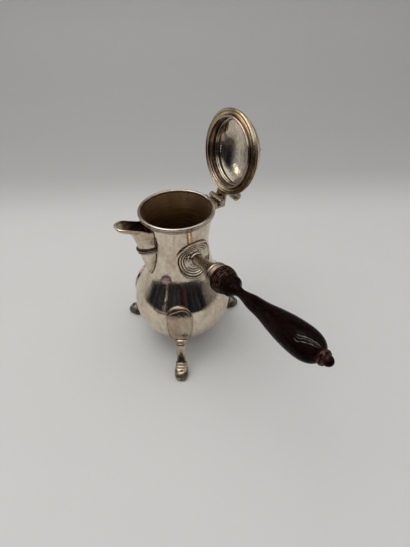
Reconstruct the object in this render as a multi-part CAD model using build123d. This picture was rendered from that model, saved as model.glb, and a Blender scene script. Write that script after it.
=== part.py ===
from build123d import *
import math
import os

# Side-handled chocolate pot on three feet, millimetres, +Z up.
# Origin: on the pot's axis, in the plane of the hoof soles.
# Spout towards -X, lid hinge towards +X, handle towards -Y.
# The lid is modelled closed and then turned about the hinge to its open rest.

os.makedirs("parts", exist_ok=True)

# ---- driving sizes -------------------------------------------------------
SOLDER = 0.05           # film between pieces that are soldered together
RUN_GAP = 0.3           # gap between the lid's and the body's faces

BASE_Z = 14.6           # lowest point of the body above the table
BELLY_R = 44.2
BELLY_Z = 46.0
SHOULDER_R = 35.3
SHOULDER_Z = 74.5
NECK_R = 25.6
MOUTH_R = 29.0          # inner radius of the mouth
MOUTH_Z = 141.0         # top edge of the body's sheet
NECK_Z = MOUTH_Z - 30.0
WALL = 1.0

RIM_WIRE_R = 1.35       # half the rolled wire's thickness
RIM_BEAD_R = 0.9        # half the lower bead's thickness
RIM_DROP = 3.6          # how far the rim moulding reaches below the sheet's edge

SPOUT_CENTRE_R = 24.0   # radius at which the spout's oval sections are centred
SPOUT_WALL = 0.9
SPOUT_TIP_R = 53.2
SPOUT_TIP_Z = MOUTH_Z + 2.2
SPOUT_MOUTH_HALF = 10.4  # half width of the beak near its upper edge
SPOUT_WAIST_HALF = 6.8
SPOUT_JOINT_Z = MOUTH_Z - 26.4   # height where beak and drop meet, under the band
SPOUT_END_Z = MOUTH_Z - 56.5
SPOUT_BAND_H = 5.6
SPOUT_BAND_PROUD = 1.3
POUR_HALF = 4.6         # half width of the opening in the neck behind the spout
POUR_LOW_Z = MOUTH_Z - 38.0
POUR_TOP_Z = MOUTH_Z - 7.5

HANDLE_Z = MOUTH_Z - 31.5    # height where the handle's axis leaves the neck
HANDLE_TILT = 9.5       # degrees above level
ROSETTE_R = 17.4
ROSETTE_Z = MOUTH_Z - 33.7
ROSETTE_TURN = 3.2      # degrees that the rosette sits round from the handle's axis
ROSETTE_T = 0.9
SOCKET_R = 4.7
SOCKET_FLARE_R = 6.6
SOCKET_END = 28.0       # distances along the handle from the neck's surface
FERRULE_END = 36.0
FERRULE_R = 9.7
TENON_R = 3.5
TENON_START = 9.0
TENON_FIT = 0.1
GRIP_END = 152.8
BULB_R = 10.9
GRIP_NECK_R = 4.3
GRIP_R = 10.5
GRIP_COLLAR_R = 5.2
GRIP_KNOB_R = 3.3
SCREW_AT = 19.0
SCREW_R = 1.0
SCREW_HEAD_R = 1.9
SCREW_HEAD_H = 1.2
SCREW_SLOT = 0.45
SCREW_GRIP = 1.8        # how far the screw runs past the handle's axis
SCREW_SEAT_R = 1.15 * SOCKET_R    # distance of the head's underside from the handle's axis

HINGE_X = 39.0
HINGE_Z = MOUTH_Z - 1.2
HINGE_BARREL_R = 2.5
HINGE_PIN_R = 0.9
HINGE_PIN_FIT = 0.05
HINGE_KNUCKLES = 5
HINGE_KNUCKLE_L = 3.3
HINGE_KNUCKLE_GAP = 0.18
HINGE_LEDGE_T = 1.9
HINGE_LEAF_W = 12.6
HINGE_LEAF_T = 1.4
HINGE_TAIL = 4.5        # how far the lid leaf runs past the pin, to meet its stop
OPEN_ANGLE = 100.0

LID_R = 33.8            # outer radius of the lid's moulding
LID_RIM_H = 5.4
BEZEL_R = 28.4
BEZEL_WALL = 1.6
BEZEL_DEPTH = 1.5       # how far the bezel reaches below the lid's rim
DOME_R = 30.3
DOME_H = 13.0
DOME_WALL = 1.0
FINIAL_PLATE_R = 7.6
FINIAL_PLATE_H = 1.7
FINIAL_R = 6.2
FINIAL_H = 14.6
THUMB_W = 8.0
THUMB_T = 1.7
THUMB_RISE = 16.8
THUMB_CURL_R = 4.0

FOOT_AT = (3.0, 123.0, 237.4)   # degrees round from the hinge, as soldered
HOOF_AT = 58.7          # radius of the sole's centre from the pot's axis
HOOF_LONG = 8.0         # half length and half width of the hoof at the sole
HOOF_WIDE = 5.9
HOOF_EDGE = 1.3         # height of the sole's chamfer
ANKLE_Z = 11.6
ANKLE_R = 55.0
ANKLE_HALF = 3.8
LEG_HALF = 4.2
LEG_TOP_R = 41.3
LEG_TOP_Z = 31.0
LEG_BAND_H = 1.4
LEG_BAND_PROUD = 0.7
PLATE_HALF = 11.9
PLATE_T = 1.2
PLATE_EDGE = 1.5
PLATE_EDGE_PROUD = 0.7
PLATE_TOP_Z = 69.6
PLATE_LOW_Z = 27.5
PLATE_LOW_HALF = 5.0

# ---- sizes that follow ----------------------------------------------------
RIM_TOP_Z = MOUTH_Z - 0.7 + 2 * RIM_WIRE_R
RIM_OUT_R = MOUTH_R + 2 * RIM_WIRE_R
LID_Z = RIM_TOP_Z + RUN_GAP
LID_IN_R = BEZEL_R + SOLDER
DOME_Z = LID_Z + LID_RIM_H
HINGE_LEN = HINGE_KNUCKLES * HINGE_KNUCKLE_L + (HINGE_KNUCKLES - 1) * HINGE_KNUCKLE_GAP
FAR = 200.0


# ---- helpers ----------------------------------------------------------------
def xz(radius, height):
    return Vector(radius, 0, height)


def turned(edges):
    """Solid of revolution about Z from a closed loop of edges in the XZ plane."""
    return revolve(Face(Wire(edges)), Axis.Z, 360)


def smooth(points, start, end):
    """Curve through the points that leaves and arrives along two directions."""
    return Spline(*points, tangents=[start, end], tangent_scalars=(1, 1))


def polar(centre, radius, degrees):
    angle = math.radians(degrees)
    return centre + Vector(radius * math.cos(angle), 0, radius * math.sin(angle))


def bead(centre, radius, start, end):
    """Arc in the XZ plane about centre, between two angles in degrees."""
    middle = (start + end) / 2
    ends = [polar(centre, radius, angle) for angle in (start, middle, end)]
    return ThreePointArc(*ends)


def body_line():
    """Outer outline of the body, from the middle of its base to the mouth."""
    floor_turn = xz(0.475 * BELLY_R, BASE_Z + 0.05 * (BELLY_Z - BASE_Z))
    low_turn = xz(0.9 * BELLY_R, BASE_Z + 0.49 * (BELLY_Z - BASE_Z))
    upper_belly = xz(0.952 * BELLY_R, BELLY_Z + 0.57 * (SHOULDER_Z - BELLY_Z))
    throat = xz(NECK_R + 0.37 * (SHOULDER_R - NECK_R),
                SHOULDER_Z + 0.34 * (NECK_Z - SHOULDER_Z))
    low_neck = xz(NECK_R + 0.11 * (SHOULDER_R - NECK_R),
                  SHOULDER_Z + 0.66 * (NECK_Z - SHOULDER_Z))
    flare = xz(NECK_R + 0.4 * (MOUTH_R + WALL - NECK_R), (NECK_Z + MOUTH_Z) / 2)
    points = [
        xz(0, BASE_Z), floor_turn, low_turn, xz(BELLY_R, BELLY_Z), upper_belly,
        xz(SHOULDER_R, SHOULDER_Z), throat, low_neck, xz(NECK_R, NECK_Z), flare,
        xz(MOUTH_R + WALL, MOUTH_Z),
    ]
    return smooth(points, (1, 0, 0), MOUTH_SLOPE)


MOUTH_SLOPE = (0.2, 0, 1)
BODY_LINE = body_line()


def envelope(distance, top):
    """Solid inside the body's outline moved outwards by distance, level at top."""
    points = []
    for i in range(33):
        tangent = BODY_LINE.tangent_at(i / 32)
        normal = Vector(tangent.Z, 0, -tangent.X)
        points.append(BODY_LINE.position_at(i / 32) + normal * distance)
    points[0] = xz(0, points[0].Z)
    edges = [smooth(points, (1, 0, 0), MOUTH_SLOPE)]
    if top - points[-1].Z > 0.001:
        edges.append(Line(points[-1], xz(points[-1].X, top)))
    edges.append(Line(edges[-1] @ 1, xz(0, top)))
    edges.append(Line(xz(0, top), points[0]))
    return turned(edges)


def body_radius(height):
    """Outer radius of the body at a height above its base."""
    low, high = 0.0, 1.0
    for _ in range(50):
        middle = (low + high) / 2
        if BODY_LINE.position_at(middle).Z < height:
            low = middle
        else:
            high = middle
    return BODY_LINE.position_at(low).X


BODY_SKIN = envelope(SOLDER, MOUTH_Z + SOLDER)


def off_body(solid):
    """Trims a soldered piece to the body's surface."""
    return solid - BODY_SKIN


def along_handle(solid):
    """Places a solid, built about +Z from the neck's surface, on the handle's axis."""
    tilt = math.radians(HANDLE_TILT)
    direction = (0, -math.cos(tilt), math.sin(tilt))
    root = (0, -body_radius(HANDLE_Z), HANDLE_Z)
    return Plane(origin=root, x_dir=(1, 0, 0), z_dir=direction).location * solid


def opened(solid):
    """Turns a piece of the closed lid about the hinge to its open rest."""
    turn = Rot(0, OPEN_ANGLE, 0)
    return Pos(HINGE_X, 0, HINGE_Z) * turn * Pos(-HINGE_X, 0, -HINGE_Z) * solid


def around_y(radius, length, x, y, z):
    """Cylinder along Y, centred at x, y, z."""
    return Pos(x, y, z) * Rot(90, 0, 0) * Cylinder(radius, length)


def save(name, solid):
    shape = solid if isinstance(solid, (Solid, Compound)) else Compound(solid)
    parts = shape.solids()
    result = parts[0] if len(parts) == 1 else Compound(parts)
    result.label = name
    export_step(result, f"parts/{name}.step")


# ---- body --------------------------------------------------------------------
def body_shell():
    shell = envelope(0, MOUTH_Z) - envelope(-WALL, MOUTH_Z + FAR)
    low = POUR_LOW_Z + POUR_HALF
    high = POUR_TOP_Z - POUR_HALF
    slot = Pos(-NECK_R, 0, (low + high) / 2) * Box(BELLY_R, 2 * POUR_HALF, high - low)
    for height in (low, high):
        slot += Pos(-NECK_R, 0, height) * Rot(0, 90, 0) * Cylinder(POUR_HALF, BELLY_R)
    reach = Pos(-NECK_R - WALL, 0, MOUTH_Z / 2) * Box(0.5 * NECK_R, BELLY_R, 2 * MOUTH_Z)
    return shell - (slot & reach)


def rim_moulding():
    wire = xz(MOUTH_R + RIM_WIRE_R, RIM_TOP_Z - RIM_WIRE_R)
    low_z = MOUTH_Z - RIM_DROP
    low_bead = xz(RIM_OUT_R - 0.35 - RIM_BEAD_R, wire.Z - RIM_WIRE_R - 0.75 * RIM_BEAD_R)
    roll = bead(wire, RIM_WIRE_R, 180, -50)
    ring = bead(low_bead, RIM_BEAD_R, 60, -70)
    foot = xz(body_radius(low_z) + 0.35, low_z)
    edges = [
        roll,
        Line(roll @ 1, ring @ 0),
        ring,
        Line(ring @ 1, foot),
        Line(foot, xz(MOUTH_R - 3 * WALL, low_z)),
        Line(xz(MOUTH_R - 3 * WALL, low_z), xz(MOUTH_R - 3 * WALL, MOUTH_Z)),
        Line(xz(MOUTH_R - 3 * WALL, MOUTH_Z), xz(MOUTH_R, MOUTH_Z)),
        Line(xz(MOUTH_R, MOUTH_Z), roll @ 0),
    ]
    return off_body(turned(edges))


# ---- spout -------------------------------------------------------------------
SPOUT_STATIONS = [      # height, how far the ridge stands out, half width
    (SPOUT_END_Z, NECK_R + 3.2, 0.9),
    (SPOUT_END_Z + 6.5, NECK_R + 5.9, 3.4),
    (SPOUT_END_Z + 14.5, NECK_R + 8.0, 5.3),
    (SPOUT_END_Z + 22.5, NECK_R + 9.6, 6.3),
    (SPOUT_JOINT_Z, NECK_R + 11.2, SPOUT_WAIST_HALF),
    (SPOUT_JOINT_Z + 6.5, NECK_R + 12.3, SPOUT_WAIST_HALF + 1.0),
    (SPOUT_JOINT_Z + 13.0, NECK_R + 13.9, SPOUT_WAIST_HALF + 2.8),
    (SPOUT_JOINT_Z + 18.5, SPOUT_TIP_R - 11.0, SPOUT_MOUTH_HALF + 0.4),
    (SPOUT_JOINT_Z + 22.0, SPOUT_TIP_R - 6.8, SPOUT_MOUTH_HALF),
    (SPOUT_JOINT_Z + 25.0, SPOUT_TIP_R - 1.9, SPOUT_MOUTH_HALF - 0.2),
    (SPOUT_TIP_Z - 1.0, SPOUT_TIP_R, SPOUT_MOUTH_HALF + 0.4),
    (SPOUT_TIP_Z + 1.5, SPOUT_TIP_R + 0.3, SPOUT_MOUTH_HALF + 0.6),
]


def spout_form(inset, low, high):
    """Half-funnel between two heights, its oval sections drawn in by inset."""
    sections = []
    for height, ridge, half in SPOUT_STATIONS:
        oval = Ellipse(ridge - SPOUT_CENTRE_R - inset, max(half - inset, 0.25))
        sections.append(Pos(-SPOUT_CENTRE_R, 0, height) * oval)
    form = loft(sections)
    band = Pos(-SPOUT_CENTRE_R - FAR / 2, 0, (low + high) / 2) * Box(FAR, FAR, high - low)
    return form & band


def beak_cut():
    """Everything above the beak's upper edge, which rises towards the tip."""
    edge = [
        xz(-SPOUT_CENTRE_R + 4, MOUTH_Z - 7.6), xz(-NECK_R - 4.4, MOUTH_Z - 5.8),
        xz(-NECK_R - 12.4, MOUTH_Z - 2.5), xz(-NECK_R - 19.4, MOUTH_Z + 0.6),
        xz(-SPOUT_TIP_R + 3.0, SPOUT_TIP_Z - 0.5), xz(-SPOUT_TIP_R - 4, SPOUT_TIP_Z + 0.2),
    ]
    top = SPOUT_TIP_Z + 20
    lip = Spline(*edge)
    loop = [
        lip,
        Line(lip @ 1, xz(edge[-1].X, top)),
        Line(xz(edge[-1].X, top), xz(edge[0].X, top)),
        Line(xz(edge[0].X, top), lip @ 0),
    ]
    return extrude(Face(Wire(loop)), amount=FAR / 4, dir=(0, 1, 0), both=True)


def rim_keepout():
    """Cylinder that keeps the spout and the hinge clear of the rim moulding."""
    low = MOUTH_Z - RIM_DROP - SOLDER
    high = SPOUT_TIP_Z + 20
    return Pos(0, 0, (low + high) / 2) * Cylinder(RIM_OUT_R + SOLDER, high - low)


def spout_beak():
    outside = spout_form(0, SPOUT_JOINT_Z, SPOUT_TIP_Z + 1.3)
    inside = spout_form(SPOUT_WALL, SPOUT_JOINT_Z - 1, SPOUT_TIP_Z + 1.4)
    return off_body(outside - inside - beak_cut() - rim_keepout())


def spout_drop():
    high = SPOUT_JOINT_Z - SOLDER
    outside = spout_form(0, SPOUT_END_Z, high)
    inside = spout_form(SPOUT_WALL, SPOUT_END_Z + 4, high + 1)
    return off_body(outside - inside)


def spout_band():
    """Double-reeded band round the joint between beak and drop."""
    half = SPOUT_BAND_H / 2
    reed = half - 0.25
    form = None
    for low in (SPOUT_JOINT_Z - half, SPOUT_JOINT_Z + 0.25):
        piece = spout_form(-SPOUT_BAND_PROUD, low, low + reed)
        form = piece if form is None else form + piece
    form += spout_form(-0.5 * SPOUT_BAND_PROUD, SPOUT_JOINT_Z - half, SPOUT_JOINT_Z + half)
    hollow = spout_form(-SOLDER, SPOUT_JOINT_Z - half - 1, SPOUT_JOINT_Z + half + 1)
    return off_body(form - hollow)


# ---- handle --------------------------------------------------------------------
def rosette_prism(radius):
    """Prism whose cut through the neck is a circle when the neck is unrolled."""
    around = body_radius(ROSETTE_Z)
    outline = Ellipse(around * math.sin(radius / around), radius)
    prism = extrude(Plane.XZ * Pos(0, ROSETTE_Z) * outline, amount=BELLY_R)
    return Rot(0, 0, ROSETTE_TURN) * prism


def handle_rosette():
    """Round plate with raised rings, shaped to the neck."""
    skin = envelope(ROSETTE_T, MOUTH_Z) & rosette_prism(ROSETTE_R)
    rings = ((1.0, 0.87, 1.0), (0.81, 0.755, 0.9), (0.7, 0.645, 0.8))
    for outer, inner, proud in rings:
        band = rosette_prism(outer * ROSETTE_R) - rosette_prism(inner * ROSETTE_R)
        skin += envelope(ROSETTE_T + proud, MOUTH_Z) & band
    return off_body(skin)


def handle_socket():
    root_boss = 1.35 * SOCKET_R
    profile = [
        xz(0, -2), xz(root_boss, -2), xz(root_boss, 1.2), xz(1.12 * SOCKET_R, 3.4),
        xz(SOCKET_R, 7.5), xz(1.04 * SOCKET_R, 15), xz(1.18 * SOCKET_R, 22),
        xz(SOCKET_FLARE_R, SOCKET_END),
    ]
    bore = TENON_R + TENON_FIT
    tube = Spline(*profile[2:])
    edges = [
        Line(profile[0], profile[1]),
        Line(profile[1], profile[2]),
        tube,
        Line(profile[-1], xz(bore, SOCKET_END)),
        Line(xz(bore, SOCKET_END), xz(bore, TENON_START - TENON_FIT)),
        Line(xz(bore, TENON_START - TENON_FIT), xz(0, TENON_START - TENON_FIT)),
        Line(xz(0, TENON_START - TENON_FIT), profile[0]),
    ]
    socket = turned(edges) - screw_hole()
    plate = envelope(ROSETTE_T + SOLDER, MOUTH_Z)
    return along_handle(socket) - plate


def from_below(solid):
    """Turns a solid built about +Z to point down from the handle's axis."""
    return Pos(0, 0, SCREW_AT) * Rot(90, 0, 0) * solid


def screw_hole():
    """Clear hole for the screw that enters the socket from below."""
    low = -SCREW_GRIP - SOLDER
    high = 3 * SOCKET_R
    hole = Pos(0, 0, (low + high) / 2) * Cylinder(SCREW_R + SOLDER, high - low)
    return from_below(hole)


def socket_ferrule():
    """Two beads that carry the end of the wood."""
    bore = TENON_R + TENON_FIT
    start = SOCKET_END + SOLDER
    groove = (start + FERRULE_END) / 2
    first = ThreePointArc(xz(SOCKET_FLARE_R, start), xz(SOCKET_FLARE_R + 1.6, start + 2),
                          xz(SOCKET_FLARE_R + 0.8, groove))
    second = ThreePointArc(xz(SOCKET_FLARE_R + 0.8, groove), xz(FERRULE_R, groove + 2.2),
                           xz(FERRULE_R - 0.7, FERRULE_END))
    edges = [
        first,
        second,
        Line(second @ 1, xz(bore, FERRULE_END)),
        Line(xz(bore, FERRULE_END), xz(bore, start)),
        Line(xz(bore, start), first @ 0),
    ]
    return along_handle(turned(edges))


def wood_handle():
    """Turned grip in one piece with the tenon that sits in the socket."""
    start = FERRULE_END + SOLDER
    waist = start + 26.0
    groove = GRIP_END - 8.6
    bulb = Spline(xz(FERRULE_R - 0.6, start), xz(BULB_R, start + 8), xz(0.76 * BULB_R, start + 16.2))
    step = xz(bulb.position_at(1).X - 0.9, start + 17.2)
    collar = ThreePointArc(step, xz(step.X + 0.8, start + 19.3), xz(step.X - 0.6, start + 22.2))
    swell = waist - groove
    grip = Spline(
        collar @ 1, xz(GRIP_NECK_R, waist), xz(0.51 * GRIP_R, waist - 0.2 * swell),
        xz(0.71 * GRIP_R, waist - 0.42 * swell), xz(0.9 * GRIP_R, waist - 0.59 * swell),
        xz(GRIP_R, waist - 0.76 * swell), xz(0.93 * GRIP_R, waist - 0.875 * swell),
        xz(0.69 * GRIP_R, waist - 0.965 * swell), xz(0.8 * GRIP_COLLAR_R, groove))
    ring = ThreePointArc(grip @ 1, xz(GRIP_COLLAR_R, groove + 2.2),
                         xz(0.62 * GRIP_COLLAR_R, groove + 4.1))
    knob = smooth([ring @ 1, xz(GRIP_KNOB_R, groove + 6.0), xz(0, GRIP_END)],
                  (1, 0, 0.6), (-1, 0, 0))
    edges = [
        Line(xz(0, TENON_START), xz(TENON_R, TENON_START)),
        Line(xz(TENON_R, TENON_START), xz(TENON_R, start)),
        Line(xz(TENON_R, start), bulb @ 0),
        bulb,
        Line(bulb @ 1, step),
        collar,
        grip,
        ring,
        knob,
        Line(xz(0, GRIP_END), xz(0, TENON_START)),
    ]
    return along_handle(turned(edges) - screw_hole())


def handle_screw():
    """Screw from below, through the socket and into the tenon."""
    seat = SCREW_SEAT_R
    length = seat + SCREW_GRIP + 0.1
    shank = Pos(0, 0, seat + 0.1 - length / 2) * Cylinder(SCREW_R, length)
    dome_r = (SCREW_HEAD_R ** 2 + SCREW_HEAD_H ** 2) / (2 * SCREW_HEAD_H)
    dome = Pos(0, 0, seat + SCREW_HEAD_H - dome_r) * Sphere(dome_r)
    head = dome & (Pos(0, 0, seat + SCREW_HEAD_H) * Cylinder(SCREW_HEAD_R, 2 * SCREW_HEAD_H))
    slot = Pos(0, 0, seat + SCREW_HEAD_H) * Box(3 * SCREW_HEAD_R, SCREW_SLOT, 2 * SCREW_SLOT)
    return along_handle(from_below(shank + head - slot))


# ---- hinge ---------------------------------------------------------------------
def knuckle_centres(first):
    """Places along Y of every second knuckle, from the first one named."""
    pitch = HINGE_KNUCKLE_L + HINGE_KNUCKLE_GAP
    middle = (HINGE_KNUCKLES - 1) / 2
    return [(i - middle) * pitch for i in range(first, HINGE_KNUCKLES, 2)]


def hinge_bore():
    return around_y(HINGE_PIN_R + HINGE_PIN_FIT, 2 * HINGE_LEN, HINGE_X, 0, HINGE_Z)


def hinge_bracket():
    """Saddle on the rim with a ledge under the barrel and the outer knuckles."""
    ledge_top = HINGE_Z - HINGE_BARREL_R - RUN_GAP
    ledge_drop = HINGE_BARREL_R + RUN_GAP + HINGE_LEDGE_T
    leaf_face = LID_Z - HINGE_Z - RUN_GAP
    swing = math.radians(OPEN_ANGLE)
    ledge_end = HINGE_X + (leaf_face + ledge_drop * math.cos(swing)) / math.sin(swing)
    saddle_in = NECK_R
    saddle_out = RIM_OUT_R + 2.2
    low = ledge_top - HINGE_LEDGE_T
    saddle_h = MOUTH_Z - 0.3 - low
    saddle = Pos((saddle_in + saddle_out) / 2, 0, low + saddle_h / 2) * Box(
        saddle_out - saddle_in, HINGE_LEN, saddle_h)
    ledge = Pos((saddle_in + ledge_end) / 2, 0, ledge_top - HINGE_LEDGE_T / 2) * Box(
        ledge_end - saddle_in, HINGE_LEN, HINGE_LEDGE_T)
    bracket = saddle + ledge - rim_keepout()
    for y in knuckle_centres(0):
        knuckle = around_y(HINGE_BARREL_R, HINGE_KNUCKLE_L, HINGE_X, y, HINGE_Z)
        post_h = HINGE_Z - ledge_top + 0.4
        post = Pos(HINGE_X, y, ledge_top - 0.4 + post_h / 2) * Box(
            1.5 * HINGE_BARREL_R, HINGE_KNUCKLE_L, post_h)
        bracket += knuckle + post
    return off_body(bracket) - hinge_bore()


def hinge_lid_leaf():
    """Leaf soldered to the lid's moulding, with its knuckles and stop tail."""
    inner = LID_R + SOLDER
    tail = HINGE_X + HINGE_TAIL
    leaf_z = LID_Z + HINGE_LEAF_T / 2
    leaf = Pos(tail / 2, 0, leaf_z) * Box(tail, HINGE_LEAF_W, HINGE_LEAF_T)
    leaf -= Pos(0, 0, leaf_z) * Cylinder(inner, 4 * HINGE_LEAF_T)
    for y in knuckle_centres(1):
        arm_h = LID_Z - HINGE_Z + 0.4
        arm = Pos(HINGE_X - 0.5, y, HINGE_Z + arm_h / 2) * Box(3.6, HINGE_KNUCKLE_L, arm_h)
        leaf += around_y(HINGE_BARREL_R, HINGE_KNUCKLE_L, HINGE_X, y, HINGE_Z) + arm
    return leaf - hinge_bore()


def hinge_pin():
    """Pin with a flat-domed head at each end of the barrel."""
    head_t = 0.7
    pin = around_y(HINGE_PIN_R, HINGE_LEN + head_t, HINGE_X, 0, HINGE_Z)
    for side in (-1, 1):
        at = side * (HINGE_LEN / 2 + SOLDER + head_t / 2)
        pin += around_y(0.62 * HINGE_BARREL_R, head_t, HINGE_X, at, HINGE_Z)
    return pin


# ---- lid (modelled closed) -------------------------------------------------------
def lid_rim():
    """Turned moulding round the lid, flat underneath."""
    low_r = 1.55
    top_r = 1.15
    low = xz(LID_R - low_r, LID_Z + low_r)
    top = xz(LID_R - 1.1 - top_r, DOME_Z - top_r - 0.25)
    roll = bead(low, low_r, -90, 55)
    small = bead(top, top_r, -35, 90)
    edges = [
        Line(xz(LID_IN_R, LID_Z), roll @ 0),
        roll,
        Line(roll @ 1, small @ 0),
        small,
        Line(small @ 1, xz(DOME_R + 0.3, DOME_Z)),
        Line(xz(DOME_R + 0.3, DOME_Z), xz(LID_IN_R, DOME_Z)),
        Line(xz(LID_IN_R, DOME_Z), xz(LID_IN_R, LID_Z)),
    ]
    return turned(edges)


def lid_bezel():
    """Collar inside the lid that drops into the mouth."""
    low = LID_Z - BEZEL_DEPTH
    high = DOME_Z + 0.5
    height = high - low
    ring = Pos(0, 0, low + height / 2) * Cylinder(BEZEL_R, height)
    return ring - Pos(0, 0, low + height / 2) * Cylinder(BEZEL_R - BEZEL_WALL, 2 * height)


def dome_solid(radius, height):
    """Half ellipsoid that stands on the lid's moulding."""
    base = DOME_Z + SOLDER
    points = []
    for i in range(17):
        angle = i * math.pi / 32
        points.append(xz(radius * math.cos(angle), base + height * math.sin(angle)))
    points[-1] = xz(0, base + height)
    crown = smooth(points, (0, 0, 1), (-1, 0, 0))
    return turned([crown, Line(crown @ 1, xz(0, base)), Line(xz(0, base), crown @ 0)])


def lid_dome():
    return dome_solid(DOME_R, DOME_H) - dome_solid(DOME_R - DOME_WALL, DOME_H - DOME_WALL)


def finial_plate():
    """Moulded disc between the dome and the finial."""
    low = DOME_Z + DOME_H - 2.5
    top = DOME_Z + DOME_H + FINIAL_PLATE_H
    edge = ThreePointArc(xz(FINIAL_PLATE_R, top - 1.6), xz(FINIAL_PLATE_R - 0.5, top - 0.6),
                         xz(FINIAL_PLATE_R - 1.8, top - 0.5))
    edges = [
        Line(xz(0, low), xz(FINIAL_PLATE_R, low)),
        Line(xz(FINIAL_PLATE_R, low), edge @ 0),
        edge,
        Line(edge @ 1, xz(0.55 * FINIAL_PLATE_R, top)),
        Line(xz(0.55 * FINIAL_PLATE_R, top), xz(0, top)),
        Line(xz(0, top), xz(0, low)),
    ]
    return turned(edges) - dome_solid(DOME_R + SOLDER, DOME_H + SOLDER)


def lid_finial():
    """Turned knob with a small point."""
    low = DOME_Z + DOME_H + FINIAL_PLATE_H + SOLDER
    tip = xz(0, low + FINIAL_H)
    stem = ThreePointArc(xz(0.55 * FINIAL_R, low), xz(0.38 * FINIAL_R, low + 1.5),
                         xz(0.52 * FINIAL_R, low + 2.9))
    ball = smooth([stem @ 1, xz(FINIAL_R, low + 0.47 * FINIAL_H),
                   xz(0.45 * FINIAL_R, low + 0.77 * FINIAL_H)], (1, 0, 0.35), (-1, 0, 0.3))
    nib = smooth([ball @ 1, xz(0.22 * FINIAL_R, low + 0.87 * FINIAL_H), tip],
                 (-0.6, 0, 1), (-1, 0, 0))
    return turned([Line(xz(0, low), stem @ 0), stem, ball, nib, Line(tip, xz(0, low))])


def thumbpiece():
    """Strip that rises behind the lid and curls outwards over the hinge."""
    low = LID_Z + HINGE_LEAF_T + SOLDER
    at = LID_R + 0.45 + THUMB_T / 2
    curl = THUMB_CURL_R - THUMB_T / 2
    top = low + THUMB_RISE
    centre = xz(at + curl + 0.3, top - curl)
    path = smooth([
        xz(at, low), xz(at + 0.25, low + 0.3 * THUMB_RISE), polar(centre, curl, 165),
        polar(centre, curl, 90), polar(centre, curl, 20), polar(centre, curl, -25),
    ], (0, 0, 1), (-0.35, 0, -1))
    strip = sweep(Pos(at, 0, low) * Rectangle(THUMB_T, THUMB_W), path=path)
    end = path @ 1
    return strip + around_y(0.62 * THUMB_T, THUMB_W, end.X, 0, end.Z)


# ---- feet ----------------------------------------------------------------------
def foot_plate():
    """Shield-shaped plate with a raised edge, shaped to the belly, towards +X."""
    def prism(inset):
        half = PLATE_HALF - inset
        round_z = PLATE_TOP_Z - PLATE_HALF
        low_half = PLATE_LOW_HALF - inset
        low_z = PLATE_LOW_Z + inset
        drop = round_z - low_z

        def side(sign):
            points = ((half, 0), (0.96 * half, 0.36), (0.79 * half, 0.68), (low_half, 1))
            places = [(0, sign * y, round_z - share * drop) for y, share in points]
            return smooth(places, (0, 0, -1), (0, -0.4 * sign, -1))

        arc = ThreePointArc((0, half, round_z), (0, 0, round_z + half), (0, -half, round_z))
        loop = [arc, side(-1), side(1), Line((0, -low_half, low_z), (0, low_half, low_z))]
        return extrude(Face(Wire(loop)), amount=2 * BELLY_R, dir=(1, 0, 0))
    edge = envelope(PLATE_T + PLATE_EDGE_PROUD, MOUTH_Z) & (prism(0) - prism(PLATE_EDGE))
    plate = (envelope(PLATE_T, MOUTH_Z) & prism(0)) + edge
    return off_body(plate)


def leg_section(x, z, lean, depth, width):
    """Rounded section across the leg, leaning so that the leg runs down and outwards."""
    corner = 0.8 * min(depth, width)
    return Pos(x, 0, z) * Rot(0, -lean, 0) * RectangleRounded(2 * depth, 2 * width, corner)


def foot_casting():
    """Leg, bands and hoof in one casting, towards +X."""
    leg = loft([
        leg_section(LEG_TOP_R - 1.0, LEG_TOP_Z + 1.6, 52, 0.92 * LEG_HALF, 1.06 * LEG_HALF),
        leg_section(LEG_TOP_R + 3.2, LEG_TOP_Z - 3.0, 48, 0.82 * LEG_HALF, 1.04 * LEG_HALF),
        leg_section(LEG_TOP_R + 8.0, LEG_TOP_Z - 9.6, 36, 0.74 * LEG_HALF, 0.97 * LEG_HALF),
        leg_section(ANKLE_R, ANKLE_Z, 30, 0.84 * ANKLE_HALF, ANKLE_HALF),
        leg_section(HOOF_AT - 0.9, 0.55 * ANKLE_Z, 16, 0.65 * HOOF_LONG, 0.88 * HOOF_WIDE),
        leg_section(HOOF_AT, HOOF_EDGE, 0, HOOF_LONG, HOOF_WIDE),
    ])
    sole = loft([
        leg_section(HOOF_AT, HOOF_EDGE, 0, HOOF_LONG, HOOF_WIDE),
        leg_section(HOOF_AT, 0, 0, HOOF_LONG - HOOF_EDGE, HOOF_WIDE - HOOF_EDGE),
    ], ruled=True)
    casting = leg + sole
    wide = ANKLE_HALF + LEG_BAND_PROUD
    bands = (
        (LEG_TOP_R + 2.0, LEG_TOP_Z - 1.5, 49, LEG_HALF + 0.2, LEG_HALF + LEG_BAND_PROUD),
        (ANKLE_R - 0.2, ANKLE_Z + 0.3, 30, wide - 0.5, wide),
        (ANKLE_R + 1.3, ANKLE_Z - 2.7, 27, wide + 0.1, wide + 0.3),
    )
    for band in bands:
        casting += extrude(leg_section(*band), amount=LEG_BAND_H / 2, both=True)
    skin = envelope(PLATE_T + PLATE_EDGE_PROUD + SOLDER, MOUTH_Z)
    return casting - skin


# ---- the pieces --------------------------------------------------------------------
save("body_shell", body_shell())
save("rim_moulding", rim_moulding())
save("spout_beak", spout_beak())
save("spout_drop", spout_drop())
save("spout_band", spout_band())
save("handle_rosette", handle_rosette())
save("handle_socket", handle_socket())
save("socket_ferrule", socket_ferrule())
save("wood_handle", wood_handle())
save("handle_screw", handle_screw())
save("hinge_bracket", hinge_bracket())
save("hinge_pin", hinge_pin())

for name, build in (("hinge_lid_leaf", hinge_lid_leaf), ("lid_rim", lid_rim),
                    ("lid_bezel", lid_bezel), ("lid_dome", lid_dome),
                    ("finial_plate", finial_plate), ("lid_finial", lid_finial),
                    ("thumbpiece", thumbpiece)):
    save(name, opened(build()))

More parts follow.
